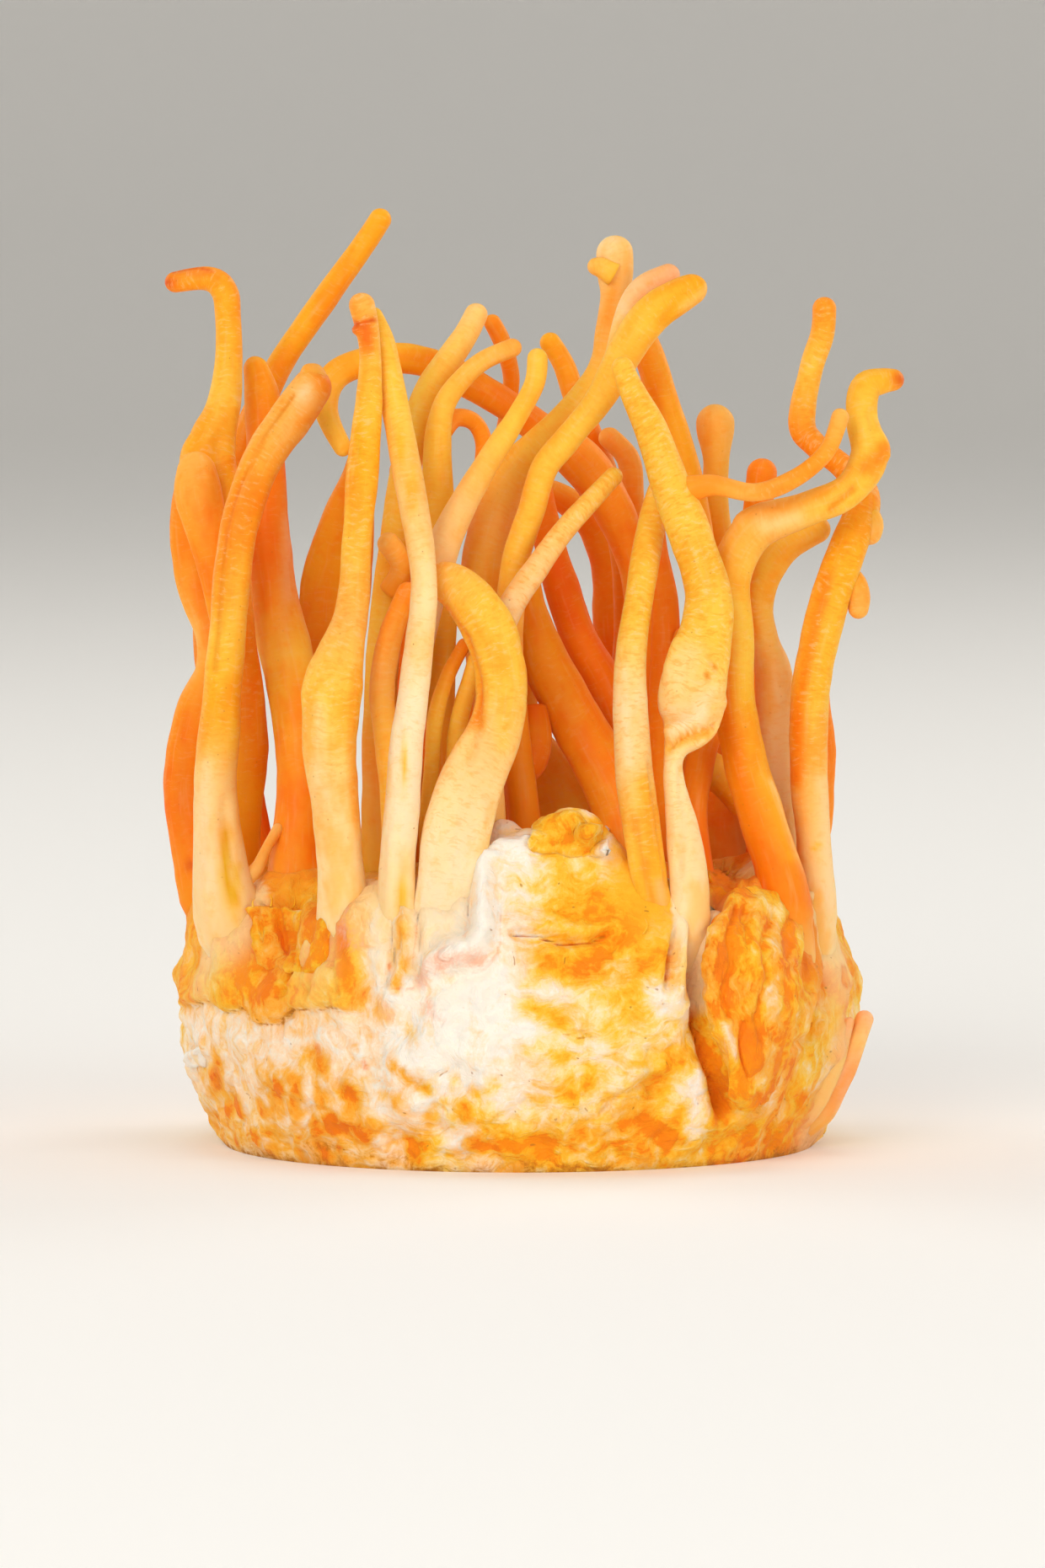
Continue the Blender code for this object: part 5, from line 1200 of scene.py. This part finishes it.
def stalkRows(points):  # each row: place, radius, depth share, turn
    rows = []
    for point in points:
        share = point[4] if len(point) > 4 else 1.0
        turn = math.radians(point[5]) if len(point) > 5 else 0.0
        rows.append([*placed(*point[:3]), point[3] / 2, share, turn])
    return np.array(rows)


def alongStalk(rows):  # the rings' rows and how far along each is, closer together over the tip
    fine = curve(rows, np.linspace(0, len(rows) - 1, 40 * (len(rows) - 1) + 1))
    gone = np.concatenate([[0], np.cumsum(np.linalg.norm(np.diff(fine[:, :3], axis=0), axis=1))])
    tip = rows[-1, 3]
    body = np.arange(0, gone[-1] - tip, stalkShape["step"])
    dome = gone[-1] - tip + tip * np.sin(np.linspace(0, math.pi / 2, 9)[:-1])
    at = np.concatenate([body, dome])
    rings = np.stack([np.interp(at, gone, fine[:, c]) for c in range(6)], -1)
    ahead = np.stack([np.interp(at + 0.5, gone, fine[:, c]) for c in range(3)], -1)
    behind = np.stack([np.interp(at - 0.5, gone, fine[:, c]) for c in range(3)], -1)
    along = ahead - behind
    along /= np.linalg.norm(along, axis=1)[:, None]
    rounding = np.sqrt(np.clip(1 - (np.clip(at - (gone[-1] - tip), 0, None) / tip) ** 2, 0, 1))
    return rings, along, at, rounding, fine[-1, :3]


def exitFrom(surface, rings):  # the first ring that is clear of the cake
    for i, ring in enumerate(rings):
        near, normal, _, _ = surface.find_nearest(Vector(ring[:3]))
        if (Vector(ring[:3]) - near).dot(normal) > 0:
            return i
    return 0


def stalkTone(words, share, places, around):
    stops = np.array([tints[w] for w in words.split()], float)
    at = np.linspace(0, 1, len(stops))
    return np.stack([np.interp(share, at, stops[:, c]) for c in range(3)], -1)


def growStalk(name, stalk, number, surface, materials):
    rows = stalkRows(stalk["points"])
    rings, along, at, rounding, apex = alongStalk(rows)
    start = exitFrom(surface, rings)
    widest = max(point[3] for point in stalk["points"])
    sides = stalkShape["thinSides"] if widest < stalkShape["thinWidth"] else stalkShape["sides"]
    side = np.cross(along, (0, 1, 0))
    side /= np.linalg.norm(side, axis=1)[:, None]
    deep = np.cross(side, along)
    gone = at - at[start]
    flare = 1 + stalkShape["flare"] * np.exp(-np.clip(gone, 0, None) / stalkShape["flareReach"])
    radius = rings[:, 3] * flare
    angle = 2 * math.pi * (np.arange(sides) + 0.5) / sides
    u, v = np.cos(angle)[None, :], np.sin(angle)[None, :]
    share, turn = rings[:, 4, None], rings[:, 5, None]
    flat = np.stack([u * np.ones_like(share), v * share], -1)
    outward = np.stack([u * share, v * np.ones_like(share)], -1)
    outward /= np.linalg.norm(outward, axis=2)[:, :, None]

    def turned(pair):
        x = pair[..., 0] * np.cos(turn) - pair[..., 1] * np.sin(turn)
        y = pair[..., 0] * np.sin(turn) + pair[..., 1] * np.cos(turn)
        return x[..., None] * side[:, None, :] + y[..., None] * deep[:, None, :]

    centre = rings[:, None, :3]
    normals = turned(outward).reshape(-1, 3)
    plain = (centre + turned(flat) * radius[:, None, None]).reshape(-1, 3)
    mean = float(rings[:, 3].mean())
    straight = np.stack([
        (u * radius[:, None]), (v * radius[:, None]), np.repeat(at[:, None], sides, 1)], -1).reshape(-1, 3)
    seed = 13.7 * number
    size = np.repeat(radius, sides)
    uneven = stalkShape["lumps"] * waves(plain, 5.2, seed) + stalkShape["ripples"] * waves(plain, 1.9, seed)
    uneven += stalkShape["flutes"] * waves(straight / (mean * 1.1, mean * 1.1, 15.0), 1.0, seed)
    push = uneven * size
    across, up = drawn(plain)
    facing = smooth(0.1, -0.4, normals[:, 1])
    for width, stand, line in stalk.get("folds", []):
        push += stand * facing * np.exp(-(fromLine(across, up, line) / width) ** 2)
    close = np.repeat(rounding, sides)
    body = (centre + turned(flat) * (radius * rounding)[:, None, None]).reshape(-1, 3)
    places = np.vstack([body + normals * (push * close)[:, None], apex])
    n = len(rings)
    k = np.arange(sides)
    faces = []
    for ring in range(n - 1):
        a = ring * sides + k
        b = ring * sides + (k + 1) % sides
        faces += np.stack([a, b, b + sides, a + sides], -1).tolist()
    last = (n - 1) * sides
    faces += [(last + i, last + (i + 1) % sides, len(places) - 1) for i in range(sides)]
    faces.append(list(range(sides))[::-1])
    piece = newMesh(name + "_flesh", places, faces, materials[stalk["finish"]])
    # tones from foot to tip, then the marks drawn on the front
    shareAlong = np.clip((at - at[0]) / (at[-1] - at[0]), 0, 1)
    tone = stalkTone(stalk["tones"], np.repeat(shareAlong, sides), plain, None)
    tone += 9.0 * waves(straight / (1.0, 1.0, 3.0), 4.0, seed)[:, None]
    for x, z, wide, high, tint, strength in stalk.get("marks", []):
        mark = strength * facing * np.exp(-((across - x) / wide) ** 2 - ((up - z) / high) ** 2)
        tone = tone * (1 - mark[:, None]) + np.array(tints[tint]) * mark[:, None]
    for tint, strength, width, line in stalk.get("bands", []):
        band = strength * facing * np.exp(-(fromLine(across, up, line) / width) ** 2)
        tone = tone * (1 - band[:, None]) + np.array(tints[tint]) * band[:, None]
    tone = np.vstack([tone, tone[-1]])
    keep(piece, "tone", "FLOAT_COLOR", np.column_stack([linear(np.clip(tone, 0, 255)), np.ones(len(tone))]))
    keep(piece, "straight", "FLOAT_VECTOR", np.vstack([straight, straight[-1]]) + (seed, 0, 0))
    dots = stalk.get("dots", 0.25) * smooth(0, 8, np.repeat(gone, sides))
    keep(piece, "dots", "FLOAT", np.append(dots, dots[-1]))
    ringed = stalk.get("rings", 0.5) * smooth(0.10, 0.45, np.repeat(shareAlong, sides))
    keep(piece, "rings", "FLOAT", np.append(ringed, ringed[-1]))
    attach(piece, "root")
    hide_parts(stalk.get("of", name))
    foot = rings[start]
    return piece, (foot[:3], along[start], foot[3], linear(np.clip(tone[start * sides], 0, 255)))


# rags of skin that lie on the cake: rows of drawn places and how far each stands off the cake
rags = {
    "folded_lobe": {
        "rows": [
            [(22.6, 29.6, 0.3), (24.2, 30.2, 0.6), (26.6, 29.8, 0.3), (28.4, 29.4, -0.6)],
            [(20.4, 27.4, 1.5), (22.6, 27.8, 1.3), (25.8, 27.2, 0.8), (29.2, 27.0, -0.6)],
            [(19.4, 23.8, 2.0), (21.8, 24.0, 1.5), (25.2, 23.6, 0.9), (29.2, 23.4, -0.6)],
            [(19.0, 19.9, 2.1), (21.6, 20.0, 1.5), (25.0, 19.8, 1.0), (29.0, 19.6, -0.6)],
            [(19.8, 16.2, 2.0), (22.0, 16.2, 1.6), (25.0, 16.0, 1.2), (28.6, 15.8, -0.4)],
            [(21.2, 12.4, 1.8), (22.8, 12.2, 1.6), (24.8, 12.0, 1.2), (27.2, 11.8, -0.2)],
            [(22.6, 8.9, 1.2), (23.4, 8.6, 1.2), (24.4, 8.4, 0.9), (25.6, 8.6, 0.0)],
            [(23.6, 7.5, 0.4), (24.0, 7.4, 0.4), (24.4, 7.4, 0.3), (24.9, 7.7, -0.2)]],
        "thick": 1.2, "stain": 0.92, "rim": 0.70, "ruffle": 0.6, "pink": 0.0,
        "strokes": [
            (-0.35, 1.0, [(24.4, 28.4), (26.4, 27.6)]), (-0.35, 0.9, [(25.4, 19.6), (25.6, 17.0)]),
            (-0.45, 0.5, [(20.8, 16.0), (22.2, 12.2)]), (-0.35, 0.9, [(26.0, 25.6), (25.4, 23.0)]),
            (-0.25, 0.5, [(29.0, 27.6), (28.2, 24.0), (26.4, 20.6)]), (-0.35, 0.5, [(24.4, 9.6), (25.6, 13.6)]),
            (0.30, 0.9, [(21.6, 27.0), (20.8, 22.0)]), (0.30, 0.7, [(23.6, 16.0), (23.8, 11.6)]),
            (0.30, 0.7, [(27.6, 25.6), (27.0, 21.6)])],
        "folds": [
            (0.3, -0.55, [(21.9, 28.0), (21.0, 25.2), (21.6, 22.0), (20.8, 19.0), (21.4, 16.8)]),
            (0.25, -0.35, [(23.4, 27.6), (22.9, 25.4), (23.4, 23.2), (22.9, 21.4)]),
            (0.35, -0.5, [(25.8, 27.0), (24.6, 24.0), (25.2, 20.6), (24.2, 17.0), (24.6, 14.2)]),
            (0.25, -0.35, [(22.6, 18.6), (23.4, 16.4), (22.6, 13.6), (23.4, 10.6)]),
            (0.3, -0.35, [(27.6, 27.0), (26.8, 25.0), (27.2, 22.6)]),
            (0.7, 0.35, [(24.2, 28.6), (23.4, 25.0), (24.4, 21.0), (23.4, 16.6)]),
            (0.4, -0.6, [(23.0, 27.8), (22.8, 26.6)])]},
    "yellow_flap": {
        "rows": [
            [(1.2, 37.2, -0.9), (3.2, 38.4, -0.9), (5.6, 38.4, -0.9), (7.8, 39.2, -0.9), (9.3, 38.2, -1.2)],
            [(0.7, 36.9, 0.3), (2.9, 37.9, 0.9), (5.6, 37.9, 0.9), (7.9, 38.8, 1.2), (9.6, 37.6, 0.3)],
            [(0.3, 36.0, 0.5), (2.6, 36.6, 0.9), (5.2, 36.6, 1.0), (7.6, 37.2, 1.2), (9.5, 36.4, 0.7)],
            [(0.1, 35.2, 0.3), (2.4, 35.2, 0.8), (5.0, 35.0, 0.9), (7.2, 35.2, 0.9), (8.9, 35.0, 0.4)],
            [(0.5, 34.7, -0.5), (2.6, 34.4, -0.3), (5.0, 34.2, -0.3), (6.9, 34.2, -0.3), (8.4, 34.0, -0.6)]],
        "thick": 0.5, "stain": 0.66, "rim": 0.34, "ruffle": 0.35, "pink": -1.0,
        "strokes": [
            (0.15, 1.4, [(2.6, 36.0), (6.0, 36.0)]), (-0.5, 0.7, [(6.4, 38.4), (8.2, 38.8), (9.2, 37.6)]),
            (-0.4, 0.9, [(8.6, 36.6), (8.4, 34.6)])],
        "folds": [
            (0.3, -0.2, [(4.6, 38.0), (6.6, 38.0), (8.6, 37.4)]), (0.3, -0.25, [(1.4, 35.4), (4.6, 35.6), (7.4, 36.2)]),
            (0.4, 0.25, [(6.4, 38.6), (8.4, 38.6), (9.2, 37.0), (8.6, 35.0)])]},
    "left_rag": {
        "rows": [
            [(-30.2, 28.0, 0.2), (-28.6, 29.0, 1.2), (-26.6, 28.6, 1.5), (-24.4, 28.4, 1.3), (-22.4, 29.2, 1.0), (-20.8, 29.4, 0.2)],
            [(-30.0, 26.8, 0.4), (-28.4, 27.2, 1.0), (-26.6, 26.8, 0.9), (-24.6, 26.8, 0.9), (-22.6, 27.2, 1.0), (-20.8, 27.4, 0.2)],
            [(-29.6, 24.8, 0.1), (-28.2, 24.8, 0.6), (-26.8, 24.6, 0.6), (-25.0, 24.6, 0.8), (-22.8, 24.8, 0.6), (-21.2, 24.8, 0.0)],
            [(-29.0, 22.0, -0.4), (-28.0, 21.8, -0.3), (-26.8, 21.6, -0.2), (-25.0, 21.4, 0.0), (-23.4, 21.2, -0.2), (-22.0, 21.4, -0.6)]],
        "thick": 0.5, "stain": 0.95, "rim": 0.82, "ruffle": 0.6, "pink": 0.0,
        "strokes": [(-0.25, 0.5, [(-24.6, 28.0), (-24.2, 24.0)]), (-0.2, 0.4, [(-28.8, 28.0), (-28.6, 25.0)])],
        "folds": [
            (0.25, -0.4, [(-28.9, 28.2), (-28.4, 24.6)]), (0.4, -0.6, [(-26.6, 28.4), (-26.4, 26.0), (-25.8, 23.4)]),
            (0.25, -0.4, [(-24.0, 28.2), (-24.6, 25.6), (-24.8, 22.6)]), (0.3, -0.4, [(-22.2, 28.6), (-23.0, 25.0), (-24.0, 22.0)]),
            (0.3, 0.4, [(-23.2, 28.8), (-23.8, 25.4), (-24.4, 22.4)])]},
    "skin_flake": {
        "rows": [
            [(-35.0, 13.4, -0.2), (-35.4, 13.2, 0.4), (-35.9, 12.6, 0.9)],
            [(-34.9, 12.4, -0.2), (-35.4, 12.2, 0.5), (-36.0, 11.9, 1.2)],
            [(-34.7, 11.4, -0.2), (-35.2, 11.2, 0.4), (-35.8, 11.2, 0.8)]],
        "thick": 0.25, "stain": 0.0, "rim": 0.0, "ruffle": 0.3, "pink": 0.0, "strokes": [], "folds": []}}

# torn threads: drawn places with how far they stand off the cake, and the thickness at the root
threads = [
    ([(20.4, 32.0, 0.2), (20.2, 33.4, 0.6), (20.6, 34.6, 0.8)], 0.34),
    ([(21.0, 32.2, 0.2), (21.2, 33.6, 0.7), (21.0, 35.4, 1.0)], 0.30),
    ([(21.6, 32.0, 0.2), (22.2, 33.2, 0.8), (23.4, 34.2, 0.6)], 0.36),
    ([(22.0, 31.6, 0.2), (22.8, 32.6, 0.5), (23.8, 33.2, 0.2)], 0.28),
    ([(19.9, 31.2, 0.2), (19.6, 32.4, 0.6), (19.8, 33.2, 0.7)], 0.30),
    ([(-29.4, 28.2, 0.8), (-29.6, 29.0, 1.3), (-29.2, 29.6, 1.5)], 0.34),
    ([(-27.6, 28.6, 1.4), (-27.5, 29.4, 1.9), (-27.9, 30.0, 2.0)], 0.34),
    ([(-25.4, 28.2, 1.4), (-25.0, 29.0, 1.7), (-25.3, 29.8, 1.8)], 0.34),
    ([(-23.5, 28.6, 1.2), (-23.1, 29.4, 1.4), (-23.3, 30.2, 1.5)], 0.36),
    ([(-22.0, 29.0, 1.0), (-21.6, 29.8, 1.4), (-21.8, 30.8, 1.6)], 0.36),
    ([(20.2, 32.2, 0.2), (19.4, 33.8, 0.9), (19.2, 35.2, 1.4)], 0.34),
    ([(21.4, 32.4, 0.2), (21.8, 34.2, 1.0), (22.6, 35.8, 1.5)], 0.34),
    ([(28.4, 30.0, 0.2), (29.4, 31.0, 0.5), (29.6, 32.4, 0.2)], 0.40),
    ([(-5.6, 37.6, -0.6), (-4.9, 38.2, 0.2), (-4.6, 39.0, 0.2)], 0.28),
    ([(12.6, 25.6, 0.1), (13.0, 26.6, 0.5), (12.6, 27.6, 0.3)], 0.26)]


def onCake(surface, across, up, lift):  # the place on the cake that the front view shows there
    start, toward = placed(across, up, -150.0), placed(across, up, 0.0)
    ray = Vector(toward - start).normalized()
    hit = surface.ray_cast(Vector(start), ray)[0]
    if hit is None:
        hit = surface.find_nearest(Vector(placed(across, up, -20.0)))[0]
    sideways = Vector((hit.x - cake["across"] * mm, hit.y, 0)).normalized()
    return np.array(hit + lift * (sideways if abs(across) > 34 else -ray))


def gridOf(rows, wide, tall):  # a smooth grid of places through rows of places
    rows = np.array(rows)
    across = np.stack([curve(row, np.linspace(0, len(row) - 1.001, wide)) for row in rows])
    grid = [curve(across[:, k], np.linspace(0, len(rows) - 1.001, tall)) for k in range(wide)]
    return np.stack(grid, 1)


def growRag(name, rag, surface, material):
    controls = [[onCake(surface, *point) for point in row] for row in rag["rows"]]
    size = [np.linalg.norm(np.diff(np.array(line), axis=0), axis=1).sum() for line in (controls[1], [r[1] for r in controls])]
    wide, tall = (max(8, round(length / 0.24)) for length in size)
    grid = gridOf(controls, wide, tall)
    du, dv = np.gradient(grid, axis=1), np.gradient(grid, axis=0)
    normal = np.cross(du, dv)
    normal /= np.linalg.norm(normal, axis=2)[:, :, None] + 1e-9
    if normal[..., 1].mean() > 0:
        normal = -normal
    flat, normal = grid.reshape(-1, 3), normal.reshape(-1, 3)
    across, up = drawn(flat)
    i, j = np.meshgrid(np.linspace(0, 1, tall), np.linspace(0, 1, wide), indexing="ij")
    rim = np.minimum(np.minimum(i, 1 - i) * size[1], np.minimum(j, 1 - j) * size[0]).ravel()
    inside = np.sqrt(np.clip(rim / 0.9, 0, 1))
    push = rag["thick"] * inside + rag["ruffle"] * 0.6 * waves(flat, 1.7, 3.0) + 0.16 * waves(flat, 0.8, 9.0)
    for width, stand, line in rag["folds"]:
        push += stand * inside * np.exp(-(fromLine(across, up, line) / width) ** 2)
    slip = rag["ruffle"] * smooth(1.2, 0.0, rim)    # the rim wanders in and out
    wander = np.stack([waves(flat, 1.3, 5.0), 0 * rim, waves(flat, 1.3, 15.0)], -1) * slip[:, None]
    front = flat + normal * push[:, None] + wander
    behind = flat - normal * (0.25 + 0.5 * inside)[:, None] + wander
    places = np.vstack([front, behind])
    n = len(front)
    faces = []
    for r in range(tall - 1):
        for c in range(wide - 1):
            a = r * wide + c
            faces.append((a, a + wide, a + wide + 1, a + 1))
            faces.append((n + a, n + a + 1, n + a + wide + 1, n + a + wide))
    ring = [*range(wide), *range(2 * wide - 1, tall * wide, wide), *range(tall * wide - 2, (tall - 1) * wide - 1, -1),
            *range((tall - 2) * wide, 0, -wide)]
    for a, b in zip(ring, ring[1:] + ring[:1]):
        faces.append((a, b, n + b, n + a))
    piece = newMesh(name, places, faces, material)
    stain = rag["rim"] + (rag["stain"] - rag["rim"]) * smooth(0.0, 1.1, rim)
    for amount, width, line in rag["strokes"]:
        stain = stain + amount * np.exp(-(fromLine(across, up, line) / width) ** 2)
    # painted shade in the folds' hollows and painted light on their ridges: more stain in hollows, less on ridges
    for width, stand, line in rag["folds"]:
        stain = stain - 0.14 * np.sign(stand) * np.exp(-(fromLine(across, up, line) / width) ** 2)
    keep(piece, "stain", "FLOAT", np.append(stain, stain))
    keep(piece, "pink", "FLOAT", np.full(2 * n, rag["pink"]))
    fitToCake(piece)


def fitToCake(piece):
    bpy.context.view_layer.objects.active = piece
    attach(piece, "root")
    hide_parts("cake")


def growThreads(surface, material):
    places, faces = [], []
    for line, width in threads:
        path = curve(np.array([onCake(surface, *point) for point in line]), np.linspace(0, len(line) - 1.001, 12))
        for k, point in enumerate(path):
            radius = width / 2 * (1 - k / 11.5)
            for side in range(6):
                angle = side * math.pi / 3
                places.append(point + radius * np.array([math.cos(angle), math.sin(angle), 0.2 * math.cos(angle)]))
        first = len(places) - 72
        for k in range(11):
            for side in range(6):
                a, b = first + 6 * k + side, first + 6 * k + (side + 1) % 6
                faces.append((a, b, b + 6, a + 6))
        faces.append(tuple(first + side for side in (5, 4, 3, 2, 1, 0)))
        faces.append(tuple(first + 66 + side for side in range(6)))
    piece = newMesh("torn_threads", np.array(places), faces, material)
    keep(piece, "stain", "FLOAT", np.full(len(places), 0.80))
    keep(piece, "pink", "FLOAT", np.full(len(places), -1.0))
    fitToCake(piece)


# stage, light and camera

stage = {"floor": (244, 242, 238), "glow": 0.10, "world": 0.2,
         "lights": {  # place in metres, size in metres, watts, colour
             "keyLight": ((-0.45, -1.25, 0.65), 0.9, 8.8, (1.0, 0.98, 0.95)),
             "fillLight": ((0.85, -0.95, 0.40), 0.9, 4.8, (1.0, 0.98, 0.96)),
             "topLight": ((0.05, 0.10, 1.15), 0.8, 3.2, (1.0, 1.0, 1.0)),
             "leftLight": ((-1.0, 0.55, 0.45), 0.7, 3.6, (1.0, 0.98, 0.95)),
             "rightLight": ((0.9, 0.75, 0.55), 0.7, 3.6, (1.0, 0.98, 0.95))}}


def makeStage():
    # a wide floor that curves up into a pale wall all round
    sweep = [(0.0, 0.0), (1.4, 0.0), (2.0, 0.0), (2.4, 0.05), (2.7, 0.2), (2.9, 0.5), (2.95, 2.6)]
    places, faces = [], []
    sides = 96
    for r, z in sweep[1:]:
        for k in range(sides):
            angle = 2 * math.pi * k / sides
            places.append((1000 * r * math.cos(angle), 1000 * r * math.sin(angle), 1000 * z))
    for ring in range(len(sweep) - 2):
        for k in range(sides):
            a, b = ring * sides + k, ring * sides + (k + 1) % sides
            faces.append((a, a + sides, b + sides, b))
    faces.append(tuple(range(sides)))
    material, tree, shader = newMaterial("palePaper", 0.9, {"Specular IOR Level": 0.1})
    shader.inputs["Base Color"].default_value = (*linear(stage["floor"]), 1.0)
    shader.inputs["Emission Color"].default_value = (*linear(stage["floor"]), 1.0)
    shader.inputs["Emission Strength"].default_value = stage["glow"]
    floor = newMesh("floor", np.array(places), faces, material)
    world = bpy.data.worlds.new("studio")
    world.use_nodes = True
    world.node_tree.nodes["Background"].inputs[0].default_value = (1.0, 0.99, 0.97, 1.0)
    world.node_tree.nodes["Background"].inputs[1].default_value = stage["world"]
    bpy.context.scene.world = world
    for name, (place, size, watts, colour) in stage["lights"].items():
        lamp = bpy.data.lights.new(name, "AREA")
        lamp.shape, lamp.size, lamp.energy, lamp.color = "DISK", size, watts, colour
        light = bpy.data.objects.new(name, lamp)
        light.location = place
        light.rotation_euler = (Vector((0, 0, 0.05)) - Vector(place)).to_track_quat("-Z", "Y").to_euler()
        bpy.context.collection.objects.link(light)


def makeCamera():
    data = bpy.data.cameras.new("camera")
    tilt = drawing["tilt"]
    data.sensor_fit = "AUTO"
    data.sensor_width = 36.0                       # lies along the picture's long side
    data.lens = 36.0 * drawing["distance"] / drawing["frameHeight"]
    data.shift_x = drawing["frameShift"]
    data.clip_start, data.clip_end = 0.05, 20.0
    camera = bpy.data.objects.new("camera", data)
    target = Vector((-drawing["middleAcross"], -drawing["middleBack"], drawing["middleHeight"])) * mm
    looking = Vector((0, math.cos(tilt), -math.sin(tilt)))
    camera.location = target - looking * drawing["distance"] * mm
    camera.rotation_euler = (math.pi / 2 - tilt, 0, 0)
    bpy.context.collection.objects.link(camera)
    bpy.context.scene.camera = camera


# build

scene = bpy.context.scene
scene.view_settings.view_transform = "Standard"
scene.view_settings.look = "None"

makeStage()
makeCamera()
print("stage, light and camera are set")

materials = {name: fleshMaterial(name, look) for name, look in flesh.items()}
mycelium = cakeMaterial("cake_mycelium")
print("materials are made")

cakePlaces, cakeFaces, cakeOut, cakeRaised = cakeShape()
surface = surfaceOf(cakePlaces, cakeFaces)
feet = []
for number, (name, stalk) in enumerate(stalks.items()):
    piece, foot = growStalk(name, stalk, number, surface, materials)
    if stalk.get("stands", True):
        feet.append(foot)
print(len(stalks), "stalks are grown")

dressed, masks, cakeTone = dressCake(cakePlaces, cakeOut, cakeRaised, feet)
cakePiece = newMesh("mycelium_cake", dressed, cakeFaces, mycelium)
for name, values in masks.items():
    keep(cakePiece, name, "FLOAT", values)
keep(cakePiece, "tone", "FLOAT_COLOR", np.column_stack([cakeTone, np.ones(len(cakeTone))]))
fitToCake(cakePiece)
dressedSurface = surfaceOf(dressed, cakeFaces)
for name, rag in rags.items():
    growRag(name, rag, dressedSurface, mycelium)
growThreads(dressedSurface, mycelium)
print("the cake is dressed")
